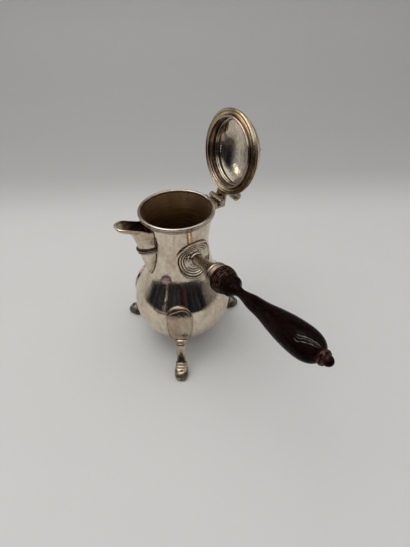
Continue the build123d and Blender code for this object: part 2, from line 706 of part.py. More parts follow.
for number, angle in enumerate(FOOT_AT, 1):
    save(f"foot_plate_{number}", Rot(0, 0, angle) * foot_plate())
    save(f"foot_casting_{number}", Rot(0, 0, angle) * foot_casting())
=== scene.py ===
import math

import bmesh
import bpy
from mathutils import Matrix, Vector
from mathutils.bvhtree import BVHTree


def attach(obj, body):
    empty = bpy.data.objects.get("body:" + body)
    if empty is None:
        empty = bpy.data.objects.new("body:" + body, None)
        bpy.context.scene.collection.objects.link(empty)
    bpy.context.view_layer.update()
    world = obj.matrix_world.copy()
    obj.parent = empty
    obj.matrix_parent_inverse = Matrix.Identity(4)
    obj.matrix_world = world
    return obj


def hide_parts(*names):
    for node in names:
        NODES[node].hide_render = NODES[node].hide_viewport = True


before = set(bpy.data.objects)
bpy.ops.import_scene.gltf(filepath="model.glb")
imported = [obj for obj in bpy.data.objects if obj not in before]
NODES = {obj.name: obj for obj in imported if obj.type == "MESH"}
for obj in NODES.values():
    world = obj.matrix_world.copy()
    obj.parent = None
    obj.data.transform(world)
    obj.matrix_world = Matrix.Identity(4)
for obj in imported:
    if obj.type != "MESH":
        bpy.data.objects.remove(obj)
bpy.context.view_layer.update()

# Side-handled chocolate pot, metres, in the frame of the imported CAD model.

# ---- camera ----
CAMERA_AT = Vector((-0.127983, -0.258507, 0.318072))
CAMERA_RIGHT = Vector((0.851447, -0.524095, -0.019034))
CAMERA_UP = Vector((0.352836, 0.545612, 0.760141))
CAMERA_AHEAD = Vector((0.388002, 0.653936, -0.649479))
SENSOR = 36.0
FOCAL_PIXELS = 411.0
FRAME_HEIGHT = 547.0
AHEAD_LEVEL = Vector((CAMERA_AHEAD.x, CAMERA_AHEAD.y, 0)).normalized()
ACROSS = Vector((AHEAD_LEVEL.y, -AHEAD_LEVEL.x, 0))

# ---- stage sizes ----
FLOOR_FRONT = 1.0
FLOOR_BACK = 0.55
SWEEP_R = 0.25
SWEEP_STEPS = 12
WALL_TOP = 1.1
STAGE_HALF = 1.6


def make_camera():
    data = bpy.data.cameras.new("camera")
    data.sensor_width = SENSOR
    data.lens = SENSOR * FOCAL_PIXELS / FRAME_HEIGHT
    data.clip_start = 0.01
    camera = bpy.data.objects.new("camera", data)
    bpy.context.scene.collection.objects.link(camera)
    turn = Matrix((CAMERA_RIGHT, CAMERA_UP, -CAMERA_AHEAD)).transposed()
    camera.matrix_world = Matrix.Translation(CAMERA_AT) @ turn.to_4x4()
    bpy.context.scene.camera = camera


# ---- node helpers ----
class Graph:
    """Short calls for building one material's or the world's nodes."""

    def __init__(self, tree):
        self.tree = tree

    def node(self, kind, **settings):
        made = self.tree.nodes.new(kind)
        for key, value in settings.items():
            setattr(made, key, value)
        return made

    def put(self, socket, value):
        if isinstance(value, bpy.types.NodeSocket):
            self.tree.links.new(value, socket)
        elif value is not None:
            socket.default_value = value

    def math(self, operation, a, b=None, c=None, clamp=False):
        made = self.node("ShaderNodeMath", operation=operation, use_clamp=clamp)
        for socket, value in zip(made.inputs, (a, b, c)):
            self.put(socket, value)
        return made.outputs[0]

    def times(self, a, b):
        return self.math("MULTIPLY", a, b)

    def plus(self, a, b):
        return self.math("ADD", a, b)

    def minus(self, a, b):
        return self.math("SUBTRACT", a, b)

    def vector(self, operation, a, b=None):
        made = self.node("ShaderNodeVectorMath", operation=operation)
        self.put(made.inputs[0], a)
        self.put(made.inputs[1], b)
        return made.outputs["Value" if operation in ("DOT_PRODUCT", "LENGTH") else "Vector"]

    def split(self, vector):
        made = self.node("ShaderNodeSeparateXYZ")
        self.put(made.inputs[0], vector)
        return made.outputs

    def join(self, x, y, z):
        made = self.node("ShaderNodeCombineXYZ")
        for socket, value in zip(made.inputs, (x, y, z)):
            self.put(socket, value)
        return made.outputs[0]

    def scaled(self, vector, factors):
        made = self.node("ShaderNodeVectorMath", operation="MULTIPLY")
        self.put(made.inputs[0], vector)
        made.inputs[1].default_value = factors
        return made.outputs[0]

    def noise(self, where, scale, detail=4.0, rough=0.55, distortion=0.0):
        made = self.node("ShaderNodeTexNoise")
        self.put(made.inputs["Vector"], where)
        self.put(made.inputs["Scale"], scale)
        self.put(made.inputs["Detail"], detail)
        self.put(made.inputs["Roughness"], rough)
        self.put(made.inputs["Distortion"], distortion)
        return made.outputs["Fac"]

    def step(self, value, low, high):
        """0 below low, 1 above high, smooth between; swapped limits fall instead."""
        made = self.node("ShaderNodeMapRange", interpolation_type="SMOOTHSTEP")
        self.put(made.inputs["Value"], value)
        down = low > high
        made.inputs["From Min"].default_value = min(low, high)
        made.inputs["From Max"].default_value = max(low, high)
        made.inputs["To Min"].default_value = 1.0 if down else 0.0
        made.inputs["To Max"].default_value = 0.0 if down else 1.0
        return made.outputs["Result"]

    def within(self, value, low, full, until, high):
        """1 from full to until, falling to 0 at low and at high."""
        return self.times(self.step(value, low, full), self.step(value, high, until))

    def range(self, value, low, high, to_low, to_high):
        made = self.node("ShaderNodeMapRange")
        self.put(made.inputs["Value"], value)
        for name, number in (("From Min", low), ("From Max", high),
                             ("To Min", to_low), ("To Max", to_high)):
            made.inputs[name].default_value = number
        return made.outputs["Result"]

    def mix(self, share, a, b):
        """Colour a at share 0, colour b at share 1."""
        made = self.node("ShaderNodeMix", data_type="RGBA")
        self.put(made.inputs["Factor"], share)
        self.put(made.inputs[6], a)
        self.put(made.inputs[7], b)
        return made.outputs[2]

    def bump(self, height, strength, distance, normal=None):
        made = self.node("ShaderNodeBump")
        self.put(made.inputs["Height"], height)
        made.inputs["Strength"].default_value = strength
        made.inputs["Distance"].default_value = distance
        if normal is not None:
            self.put(made.inputs["Normal"], normal)
        return made.outputs["Normal"]


def new_material(name):
    material = bpy.data.materials.new(name)
    material.use_nodes = True
    tree = material.node_tree
    shader = tree.nodes["Principled BSDF"]
    return material, Graph(tree), shader


def rgb(r, g, b):
    return (r, g, b, 1.0)


# ---- mesh helpers ----
MM = 0.001
SHARP = math.radians(38)
MERGE = 1e-7            # metres
LATHE_AROUND = 160


def add_piece(name, verts, faces, body, material, grime_and_shade=None):
    """Mesh piece from points in millimetres, riding on a CAD body; grime and painted shade is 0 to 1 a
    point.
    """
    mesh = bpy.data.meshes.new(name)
    mesh.from_pydata([Vector(v) * MM for v in verts], [], faces)
    if grime_and_shade is not None:
        mesh.attributes.new("grime_and_shade", "FLOAT", "POINT").data.foreach_set("value", grime_and_shade)
    work = bmesh.new()
    work.from_mesh(mesh)
    bmesh.ops.remove_doubles(work, verts=work.verts, dist=MERGE)
    bmesh.ops.recalc_face_normals(work, faces=work.faces)
    work.to_mesh(mesh)
    work.free()
    mesh.polygons.foreach_set("use_smooth", [True] * len(mesh.polygons))
    mesh.set_sharp_from_angle(angle=SHARP)
    mesh.materials.append(material)
    piece = bpy.data.objects.new(name, mesh)
    bpy.context.scene.collection.objects.link(piece)
    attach(piece, body)
    return piece


def bell(value, centre, width):
    """Smooth bump, 1 at the centre."""
    return math.exp(-((value - centre) / width) ** 2)


def clamp(value):
    return min(max(value, 0.0), 1.0)


def signed_power(value, power):
    return math.copysign(abs(value) ** power, value)


def spline(a, b, c, d, t):
    """Catmull-Rom row of numbers between rows b and c."""
    return tuple(
        0.5 * (2 * q + (r - p) * t + (2 * p - 5 * q + 4 * r - w) * t * t
               + (3 * q - p - 3 * r + w) * t ** 3)
        for p, q, r, w in zip(a, b, c, d))


def curve_through(points, steps):
    """Spline through rows of numbers, steps to each span."""
    rows = []
    last = len(points) - 1
    for i in range(last):
        a, b = points[max(i - 1, 0)], points[i]
        c, d = points[i + 1], points[min(i + 2, last)]
        rows += [spline(a, b, c, d, j / steps) for j in range(steps)]
    rows.append(tuple(points[-1]))
    return rows


def arc(centre_r, centre_z, radius, start, end, steps=8):
    """Points on an arc, angles in degrees from +r towards +z."""
    out = []
    for i in range(steps + 1):
        angle = math.radians(start + (end - start) * i / steps)
        out.append((centre_r + radius * math.cos(angle), centre_z + radius * math.sin(angle)))
    return out


def turned_faces(loop, segments):
    """Faces of a closed outline turned about Z; its radius comes first in each row."""
    faces = []
    count = len(loop)
    for i in range(segments):
        a, b = i * count, (i + 1) % segments * count
        for j in range(count):
            k = (j + 1) % count
            if loop[j][0] < 1e-6 and loop[k][0] < 1e-6:
                continue
            faces.append((a + j, a + k, b + k, b + j))
    return faces


def lathe(loop):
    """Vertices and faces of a closed outline of (radius, height) turned about Z."""
    verts = []
    for i in range(LATHE_AROUND):
        angle = 2 * math.pi * i / LATHE_AROUND
        for radius, height in loop:
            verts.append((radius * math.cos(angle), radius * math.sin(angle), height))
    return verts, turned_faces(loop, LATHE_AROUND)


def rings_mesh(rings, caps=True):
    """Skin over closed rings of points; each ring has the same number of them."""
    verts = [p for ring in rings for p in ring]
    count = len(rings[0])
    faces = []
    for i in range(len(rings) - 1):
        for j in range(count):
            k = (j + 1) % count
            a, b = i * count, (i + 1) * count
            faces.append((a + j, a + k, b + k, b + j))
    if caps:
        faces.append(tuple(range(count)))
        faces.append(tuple(range((len(rings) - 1) * count, len(rings) * count)))
    return verts, faces


def turned_about_z(verts, degrees):
    turn = Matrix.Rotation(math.radians(degrees), 3, "Z")
    return [turn @ Vector(v) for v in verts]


def lid_open(verts):
    """Points of the closed lid, turned about the hinge to the open rest."""
    pivot = Vector((HINGE_X, 0, HINGE_Z))
    turn = Matrix.Rotation(math.radians(OPEN_ANGLE), 3, "Y")
    return [turn @ (Vector(v) - pivot) + pivot for v in verts]


def body_surface():
    """Outer radius of the body by height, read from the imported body."""
    mesh = NODES["body_shell"].data
    tree = BVHTree.FromPolygons([v.co for v in mesh.vertices],
                                [p.vertices for p in mesh.polygons])
    out = Vector((math.cos(0.9), math.sin(0.9), 0))
    table = []
    for i in range(int(BODY_TOP - BODY_LOW) * 2 + 1):
        height = BODY_LOW + i / 2
        start = out * 0.2 + Vector((0, 0, height * MM))
        hit = tree.ray_cast(start, -out)[0]
        table.append(math.hypot(hit.x, hit.y) / MM)
    return table


def body_radius(height):
    """Outer radius of the body in millimetres, between table rows."""
    place = min(max((height - BODY_LOW) * 2, 0), len(BODY_TABLE) - 1.001)
    low = int(place)
    share = place - low
    return BODY_TABLE[low] * (1 - share) + BODY_TABLE[low + 1] * share


def body_tilt(height):
    """Outward normal of the body as (radial, upward)."""
    slope = body_radius(height + 0.5) - body_radius(height - 0.5)
    length = math.hypot(1, slope)
    return 1 / length, -slope / length


# ---- sizes shared with the CAD, millimetres ----
HINGE_X, HINGE_Z, OPEN_ANGLE = 39.0, 139.8, 100.0
LID_Z, DOME_Z, DOME_R, DOME_H = 143.3, 148.7, 30.3, 13.0
FOOT_AT = (3.0, 123.0, 237.4)
BODY_LOW, BODY_TOP = 22.0, 140.0
BODY_TABLE = body_surface()


# ---- pieces that stand for CAD nodes ----
WRAP_AROUND, WRAP_STEPS = 144, 4     # points round a wrapped plate, rows to each span of its line
ROSETTE_Z, ROSETTE_R, ROSETTE_TURN = 107.3, 17.4, 3.2
ROSETTE_LONGER = 2.2
ROSETTE_LINE = (        # share of the radius, height above the neck, grime and painted shade
    (1.0, 0.1, 0.9), (1.0, 1.05, 0.2), (0.985, 1.6, 0.0), (0.945, 1.9, 0.0), (0.895, 1.6, 0.1),
    (0.868, 0.8, 0.6), (0.85, 0.2, 1.0), (0.832, 0.8, 0.4), (0.79, 1.5, 0.0), (0.745, 0.8, 0.2),
    (0.727, 0.2, 1.0), (0.709, 0.8, 0.3), (0.67, 1.4, 0.0), (0.625, 0.7, 0.2), (0.607, 0.2, 1.0),
    (0.589, 0.7, 0.3), (0.555, 1.25, 0.0), (0.515, 0.8, 0.1), (0.47, 0.45, 0.3),
    (0.42, 0.5, 0.1), (0.37, 0.8, 0.5), (0.33, 1.3, 0.2), (0.29, 1.5, 0.6), (0.20, 0.6, 1.0),
)


def rosette(material):
    """Reeded round plate wrapped on the neck, with a dished middle."""
    line = curve_through(ROSETTE_LINE, WRAP_STEPS)
    around = body_radius(ROSETTE_Z)
    rings, grime_and_shade = [], []
    for share, proud, soot_and_shade in line:
        ring = []
        for j in range(WRAP_AROUND):
            angle = 2 * math.pi * j / WRAP_AROUND
            side = share * ROSETTE_R * math.cos(angle)
            height = ROSETTE_Z + share * ROSETTE_R * math.sin(angle)
            height += min(share * ROSETTE_LONGER * math.sin(angle), 0.0)
            azimuth = math.radians(ROSETTE_TURN - 90) + side / around
            outwards, upwards = body_tilt(height)
            radius = body_radius(height) + proud * outwards
            ring.append((radius * math.cos(azimuth), radius * math.sin(azimuth),
                         height + proud * upwards))
            grime_and_shade.append(soot_and_shade)
        rings.append(ring)
    verts, faces = rings_mesh(rings, caps=False)
    piece = add_piece("rosette_reeded", verts, faces, "pot", material, grime_and_shade)
    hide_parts("handle_rosette")


# Where round its turn the lid's edge is darkened as painted shade and a painted dark reflection: turns in
# radians, width, and the radius between underside and outer bead.
SHADE_UNDER_TURN, SHADE_EDGE_TURN, SHADE_WIDTH, SHADE_SPLIT_R = 5.0, 5.2, 0.75, 31.9
SHADE_LEFT_TURN, SHADE_LEFT_WIDTH = 1.15, 0.26


def turned_piece(name, node, line, material, place, body="lid", darkening=0.0):
    """Lathe piece from (radius, height, grime and shade) rows; darkened in two places round its turn as
    painted shade and a painted dark reflection.
    """
    verts, faces = lathe([row[:2] for row in line])
    grime_and_shade = []
    for i in range(LATHE_AROUND):
        turn = 2 * math.pi * i / LATHE_AROUND
        left = bell(turn, SHADE_LEFT_TURN, SHADE_LEFT_WIDTH)
        under = darkening * (bell(turn, SHADE_UNDER_TURN, SHADE_WIDTH) + left)
        edge = darkening * (bell(turn, SHADE_EDGE_TURN, SHADE_WIDTH) + left)
        grime_and_shade += [min(row[2] + (under if row[0] < SHADE_SPLIT_R else edge), 1.0) for row in line]
    piece = add_piece(name, place(verts), faces, body, material, grime_and_shade)
    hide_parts(node)


def clean(points):
    """Outline points as rows with no grime and no painted shade."""
    return [(radius, height, 0.0) for radius, height in points]


def lid_moulding(material):
    """Lid's edge: two reeds outside, and a flange with a cove and a ridge underneath."""
    # The rows where the collar meets the flange are dark: grime and painted shade.
    line = [(28.45, LID_Z + 5.3, 1.0), (28.45, LID_Z + 0.9, 1.0)]
    line += curve_through([(28.6, LID_Z + 0.7, 1.0), (29.2, LID_Z + 0.5, 0.3),
                           (29.8, LID_Z + 0.25, 0.0), (30.4, LID_Z + 0.02, 0.0),
                           (30.9, LID_Z + 0.1, 0.1), (31.3, LID_Z + 0.55, 0.5),
                           (31.8, LID_Z + 0.60, 0.4), (32.15, LID_Z + 0.25, 0.0)], 3)
    line += clean(arc(32.2, LID_Z + 1.55, 1.52, -75, 58, 14))
    line += [(32.75, LID_Z + 2.95, 0.7)]
    line += clean(arc(31.5, LID_Z + 4.0, 1.15, -40, 80, 12))
    line += [(30.9, LID_Z + 5.15, 0.6), (30.5, LID_Z + 5.3, 0.8)]
    turned_piece("lid_moulding", "lid_rim", line, material, lid_open, darkening=2.2)


def lid_collar(material):
    """Collar that drops into the mouth, with a bead at its edge and an undercut darkened as grime and
    painted shade.
    """
    low = LID_Z - 1.5
    line = [(28.4, DOME_Z + 0.5, 0.4), (28.4, low + 0.6, 0.1), (28.2, low + 0.2, 0.0),
            (27.8, low, 0.0), (27.3, low, 0.0), (26.95, low + 0.15, 0.0),
            (26.8, low + 0.45, 0.3), (26.9, low + 0.75, 0.8), (27.4, low + 0.9, 1.0),
            (27.7, low + 1.3, 1.0), (27.7, low + 2.1, 1.0), (27.3, low + 2.5, 0.8),
            (27.0, low + 2.8, 0.45), (26.9, low + 4.2, 0.35), (26.9, DOME_Z - 1.6, 0.5),
            (27.15, DOME_Z - 1.1, 0.9), (27.15, DOME_Z + 0.5, 0.9)]
    turned_piece("lid_collar", "lid_bezel", line, material, lid_open)


DOME_FOOT = DOME_Z + 0.05
DOME_STEPS, DOME_INNER_FROM = 40, 11


def dome_point(radius, height, angle):
    """Row of the dome's outline at an angle up from its foot."""
    return radius * math.cos(angle), DOME_FOOT + height * math.sin(angle), 0.0


def lid_crown(material):
    """Domed sheet with two rolled inner beads at its foot."""
    base = DOME_FOOT
    angles = [math.pi / 2 * i / DOME_STEPS for i in range(DOME_STEPS)]
    outer = [dome_point(DOME_R - 0.05, DOME_H, angle) for angle in angles]
    inner = [dome_point(DOME_R - 1, DOME_H - 1, angle) for angle in angles[:DOME_INNER_FROM:-1]]
    # The beads' third column is grime and painted shade.
    bead = curve_through([(26.4, base + 4.3, 0.2), (25.6, base + 3.3, 0.9),
                          (25.0, base + 2.6, 0.3), (24.9, base + 1.9, 0.0),
                          (25.5, base + 1.3, 0.7), (25.5, base + 1.0, 0.9),
                          (25.4, base + 0.5, 0.1), (25.9, base + 0.05, 0.1),
                          (26.9, base, 0.8)], 4)
    line = outer + [(0.0, base + DOME_H, 0.0), (0.0, base + DOME_H - 1, 0.0)] + inner + bead
    turned_piece("lid_crown", "lid_dome", line, material, lid_open)


LEG_ROWS = (    # outer x, z; inner x, z; half width; squareness
    (40.6, 31.8, 39.6, 28.6, 4.4, 2.4), (43.3, 33.3, 40.6, 27.6, 5.0, 2.4),
    (45.2, 33.7, 41.2, 27.2, 5.5, 2.4), (46.7, 33.1, 41.6, 26.7, 5.6, 2.4),
    (47.4, 32.2, 42.0, 26.3, 5.3, 2.4), (47.7, 31.4, 42.4, 26.2, 4.8, 2.4),
    (48.9, 30.2, 43.4, 25.4, 4.75, 2.5), (49.9, 27.6, 45.0, 23.9, 4.6, 2.7),
    (50.3, 25.2, 46.3, 22.3, 4.4, 2.9), (51.0, 22.2, 47.6, 20.0, 4.15, 3.1),
    (52.3, 18.9, 48.9, 17.0, 3.9, 3.2), (54.0, 15.7, 50.2, 13.9, 3.9, 3.0),
    (55.1, 13.7, 50.9, 11.7, 4.15, 2.7), (56.1, 13.8, 50.9, 11.0, 5.0, 2.6),
    (56.9, 13.2, 51.0, 10.3, 5.15, 2.6), (57.2, 12.2, 51.1, 9.6, 4.9, 2.5),
    (57.1, 11.5, 51.3, 9.2, 4.5, 2.4), (57.8, 11.5, 51.1, 8.6, 5.1, 2.5),
    (58.6, 10.9, 51.0, 7.9, 5.3, 2.5), (58.9, 10.0, 51.0, 7.2, 5.1, 2.4),
    (59.2, 9.5, 51.2, 6.8, 4.9, 2.4), (60.7, 9.1, 51.0, 5.8, 5.4, 2.4),
    (63.0, 7.9, 50.9, 4.4, 5.9, 2.4), (65.2, 5.8, 50.8, 3.0, 6.15, 2.4),
    (66.4, 3.4, 50.8, 1.8, 6.1, 2.4), (66.6, 1.6, 50.9, 0.9, 5.9, 2.4),
    (66.1, 0.4, 51.3, 0.3, 5.5, 2.4), (65.2, 0.0, 52.2, 0.0, 4.7, 2.4),
)
LEG_STEPS = 4
LEG_AROUND = 72


def hoof_relief(row, across, outwards):
    """Height added to the toe: a slanting roll, a pit above it and a cleft below."""
    if outwards <= 0:
        return 0.0
    roll = 0.55 * bell(row + 0.5 * across, 22.0, 0.36) * bell(across, 0.0, 0.75)
    pit = -0.9 * bell(row, 21.2, 0.4) * bell(across, 0.15, 0.3)
    crease = -0.5 * bell(row + 0.5 * across, 22.75, 0.25)
    cleft = -0.6 * bell(across, 0.0, 0.12) * clamp((row - 22.9) / 0.8)
    return (roll + pit + crease + cleft) * outwards


def leg_grime_and_shade(row, across, outwards, lift):
    """Grime and painted shade over a leg, 0 to 1."""
    # Dark lines at the top, the bands and above the toe, and a spot near the top: grime and painted
    # shade.
    seams = bell(row, 0.2, 0.5) + bell(row, 12.4, 0.35) + bell(row, 16.0, 0.45)
    seams += bell(row, 5.0, 0.45) * bell(across, 0.15, 0.6) + bell(row, 20.0, 0.4)
    # A painted dark reflection in a narrow band down the middle of the leg, around its concave part.
    throat_dark_reflection = 2.0 * bell(row, 11.0, 2.0) * bell(across, 0.0, 0.36 + 0.2 * max(row - 9.0, 0.0))
    # Painted shade under the toe; its slanting roll and a spot low on it are left light as a painted
    # highlight.
    under = 0.85 * clamp((row - 20.6) / 0.6)
    under -= 0.95 * bell(row + 0.5 * across, 22.0, 0.34) * bell(across, 0.0, 0.8)
    under -= 0.35 * bell(row, 24.0, 0.5) * bell(across, -0.3, 0.4)
    # Painted shade on the side of the leg that faces the body.
    back = 0.45 if outwards < 0 else 0.0
    # Painted shade where the surface is pushed in.
    dip_shade = clamp((-lift - 0.15) * 1.8)
    return clamp(0.9 * seams + throat_dark_reflection + max(under, 0.0) + back + dip_shade)


PLATE_HALF, PLATE_ROUND_Z, PLATE_DROP, PLATE_SINK = 11.9, 57.7, 33.0, 8.0
PLATE_2_GRIME_AND_SHADE = 0.35
PLATE_LINE = (          # share of the plate, height above the belly, grime and painted shade
    (1.0, 0.1, 1.0), (1.0, 0.8, 0.7), (0.985, 1.5, 0.2), (0.95, 1.95, 0.0), (0.91, 2.05, 0.0),
    (0.885, 1.95, 0.1), (0.87, 1.75, 0.6), (0.86, 1.68, 0.5), (0.845, 1.68, 0.1),
    (0.75, 1.7, 0.0), (0.5, 1.75, 0.0), (0.25, 1.75, 0.0), (0.02, 1.75, 0.0),
)


def plate_lift(number, share, proud, angle, side, height):
    """How far a point of the plate stands off the belly; the rolled edge dips at the bottom."""
    lift = proud + (1.3 - proud) * plate_bottom(angle) * bell(share, 0.9, 0.08)
    lift += 0.12 * math.sin(5 * angle + 1.0) * bell(share, 0.9, 0.06)
    lift += min(share, 0.9 * (1.0 - share) / 0.1) * 2.1 * bell(height, 45.5, 10.5)
    lift += 2.2 * bell(height, 33.0, 3.5) * bell(side, 0.0, 4.5)
    return lift * (1.0 - 0.7 * bell(height, 71.0, 7.0)) if number == 1 else lift


def plate_bottom(angle):
    return bell(angle, 1.5 * math.pi, 0.5)


def foot_plate(number, material):
    """Shield on the belly above a leg, with a rolled edge that is thickest at the top."""
    line = curve_through(PLATE_LINE, WRAP_STEPS)
    rings, grime_and_shade = [], []
    for share, proud, soot_and_shade in line:
        ring = []
        for j in range(WRAP_AROUND):
            angle = 2 * math.pi * j / WRAP_AROUND
            c, s = math.cos(angle), math.sin(angle)
            inward = 1.0 - (1.0 - share) * (1.0 + 0.9 * bell(angle, 1.9, 0.6))
            if share < 0.8:
                inward = share * (1.0 - 0.2 * bell(angle, 1.9, 0.6))
            if s < 0:
                c = signed_power(c, 0.75)
            side = inward * PLATE_HALF * c
            reach = PLATE_HALF if s > 0 else PLATE_DROP
            height = PLATE_ROUND_Z - PLATE_SINK + inward * (PLATE_SINK + reach * s)
            outwards, upwards = body_tilt(height)
            lift = plate_lift(number, share, proud, angle, side, height)
            radius = math.sqrt(body_radius(height) ** 2 - side ** 2) + lift * outwards
            ring.append((radius, side, height + lift * upwards))
            # Grime and painted shade round the edge: none at the bottom, where the plate runs into the
            # leg, and less on plate 2.
            wear_and_painted_light = PLATE_2_GRIME_AND_SHADE if number == 2 else 1.0
            grime_and_shade.append(soot_and_shade * (1.0 - plate_bottom(angle)) * wear_and_painted_light)
        rings.append(ring)
    verts, faces = rings_mesh(rings, caps=False)
    faces.append(tuple(range(len(verts) - WRAP_AROUND, len(verts))))
    verts = turned_about_z(verts, FOOT_AT[number - 1])
    piece = add_piece(f"plate_{number}", verts, faces, "pot", material, grime_and_shade)
    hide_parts(f"foot_plate_{number}")


def leg(number, material):
    """Cabriole leg with a collar, a doubled band and a cloven foot."""
    rows = curve_through(LEG_ROWS, LEG_STEPS)
    rings, grime_and_shade = [], []
    for i, (out_x, out_z, in_x, in_z, half, square) in enumerate(rows):
        row = i / LEG_STEPS
        middle = Vector(((out_x + in_x) / 2, 0, (out_z + in_z) / 2))
        reach = Vector(((out_x - in_x) / 2, 0, (out_z - in_z) / 2))
        flute = 0.5 * bell(row, 10.4, 1.6)
        ring = []
        for j in range(LEG_AROUND):
            angle = 2 * math.pi * j / LEG_AROUND
            c, s = math.cos(angle), math.sin(angle)
            u = signed_power(c, 2 / square)
            v = signed_power(s, 2 / square)
            lift = hoof_relief(row, v, max(c, 0) ** 0.5 if c > 0 else 0)
            lift -= flute * bell(v, 0.0, 0.55) * (1 if c > 0 else 0)
            point = middle + reach * u + Vector((0, half * v, 0))
            ring.append(point + reach.normalized() * lift)
            grime_and_shade.append(leg_grime_and_shade(row, v, c, lift))
        rings.append(ring)
    verts, faces = rings_mesh(rings)
    for vert in verts:
        vert.z = max(vert.z, 0.0)
    verts = turned_about_z(verts, FOOT_AT[number - 1])
    piece = add_piece(f"leg_{number}", verts, faces, "pot", material, grime_and_shade)
    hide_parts(f"foot_casting_{number}")


SPOUT_CENTRE = 24.0
SPOUT_LOW = 114.6
SPOUT_WALL = 0.9
BEAK_COLUMNS, BEAK_ROWS = 72, 40
LIP_DROP, LIP_STEPS = 0.45, 14
WALL_TRIES, LIP_TRIES = 30, 40
SPOUT_ROWS = (          # height, reach of the ridge, half width
    (84.5, 28.8, 0.9), (91.0, 31.5, 3.4), (99.0, 33.6, 5.3),
    (107.0, 35.2, 6.3), (114.6, 36.8, 6.8), (121.1, 37.9, 7.8), (127.6, 39.5, 9.6),
    (133.1, 42.2, 10.8), (136.6, 46.4, 10.4), (139.6, 51.3, 10.2), (142.2, 53.2, 10.8),
    (144.7, 53.5, 11.0), (147.0, 53.6, 11.0),
)
LIP_LINE = (            # x, height of the beak's upper edge
    (-60.0, 143.6), (-57.2, 143.4), (-50.2, 142.7), (-45.0, 141.6), (-38.0, 138.5),
    (-30.0, 135.2), (-20.0, 133.4),
)


def between(rows, key, value):
    """Smooth row of numbers at a value of one column; rows are in order of it."""
    for i in range(len(rows) - 1):
        low, high = rows[i][key], rows[i + 1][key]
        if low <= value <= high or i == len(rows) - 2:
            span = rows[max(i - 1, 0)], rows[i], rows[i + 1], rows[min(i + 2, len(rows) - 1)]
            return spline(*span, (value - low) / (high - low))


def spout_point(height, share, inset):
    """Point of the beak; share runs from the body on one side to the other, -1 to 1."""
    _, ridge, half = between(SPOUT_ROWS, 0, height)
    a, b = ridge - SPOUT_CENTRE - inset, half - inset
    wall = body_radius(height) + 0.06
    low, high = 0.0, math.pi / 2 + 0.3
    for _ in range(WALL_TRIES):
        angle = (low + high) / 2
        if math.hypot(SPOUT_CENTRE + a * math.cos(angle), b * math.sin(angle)) > wall:
            low = angle
        else:
            high = angle
    angle = share * low
    blunt = 2.0 / (2.0 + 0.9 * clamp((height - 136.0) / 5.0))
    along = signed_power(math.cos(angle), blunt)
    over = signed_power(math.sin(angle), blunt)
    return Vector((-SPOUT_CENTRE - a * along, b * over, height))


def lip_height(share):
    """Height at which a line up the beak's outside meets the lip."""
    height = 140.0
    for _ in range(LIP_TRIES):
        point = spout_point(min(height, 146.0), share, 0.0)
        height = 0.5 * height + 0.5 * between(LIP_LINE, 0, point.x)[1]
    return height


def beak(material):
    """Beak of the spout with a rolled lip."""
    rings = []
    for j in range(BEAK_COLUMNS + 1):
        share = 2 * j / BEAK_COLUMNS - 1
        top = lip_height(share) - LIP_DROP
        heights = [SPOUT_LOW + (top - SPOUT_LOW) * i / BEAK_ROWS for i in range(BEAK_ROWS + 1)]
        out = [spout_point(height, share, 0.0) for height in heights]
        inn = [spout_point(height, share, SPOUT_WALL) for height in reversed(heights)]
        across = (out[-1] - inn[0]).normalized()
        tip = clamp((-out[-1].x - 44.0) / 8.0)
        bead = 0.58 + 0.50 * tip
        middle = (out[-1] + inn[0]) / 2 - across * (bead - 0.40)
        roll = []
        for i in range(1, LIP_STEPS):
            angle = math.radians(-40 + 260 * i / LIP_STEPS)
            roll.append(middle + across * bead * math.cos(angle)
                        + Vector((0, 0, 0.30 - 0.35 * tip + bead * math.sin(angle))))
        rings.append(out + roll + inn)
    verts, faces = rings_mesh(rings, caps=False)
    count = len(rings[0])
    last = (len(rings) - 1) * count
    for i in range(count // 2):
        faces.append((i, i + 1, count - 2 - i, count - 1 - i))
        faces.append((last + i, last + i + 1, last + count - 2 - i, last + count - 1 - i))
    piece = add_piece("beak_rolled", verts, faces, "pot", material)
    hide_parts("spout_beak")


def tube(points, radius, sides=10):
    """Round wire through points, ends closed."""
    rings = []
    for i, point in enumerate(points):
        ahead = (points[min(i + 1, len(points) - 1)] - points[max(i - 1, 0)]).normalized()
        first = ahead.cross(Vector((0.3, 0.2, 1.0))).normalized()
        second = ahead.cross(first)
        rings.append([point + (first * math.cos(a) + second * math.sin(a)) * radius
                      for a in (2 * math.pi * j / sides for j in range(sides))])
    return rings_mesh(rings)


SEAM_LOW, SEAM_HIGH, SEAM_R, SEAM_OUT = 88.0, 137.5, 0.55, 0.12
ACROSS_STEPS = 60


def spout_seams(material):
    """Solder left along both edges where the spout meets the body."""
    for side, name in ((-1, "near"), (1, "far")):
        points = [spout_point(SEAM_LOW + (SEAM_HIGH - SEAM_LOW) * i / ACROSS_STEPS, side, -SEAM_OUT)
                  for i in range(ACROSS_STEPS + 1)]
        verts, faces = tube(points, SEAM_R)
        add_piece(f"spout_seam_{name}", verts, faces, "pot", material,
                  [1.0] * len(verts))


BAND_LINE = (           # height on the spout, how far it stands out, grime and painted shade
    (117.5, -0.3, 1.0), (117.5, 0.4, 1.0), (117.2, 1.0, 1.2), (116.5, 1.5, 1.2),
    (115.9, 1.65, 0.6), (115.3, 1.6, 1.3), (114.5, 1.3, 1.3), (113.9, 0.7, 1.0),
    (113.6, 0.75, 0.5), (113.1, 1.2, 0.0), (112.5, 1.3, 0.0), (111.9, 1.0, 0.1),
    (111.5, 0.4, 0.8), (111.4, -0.3, 1.0),
)


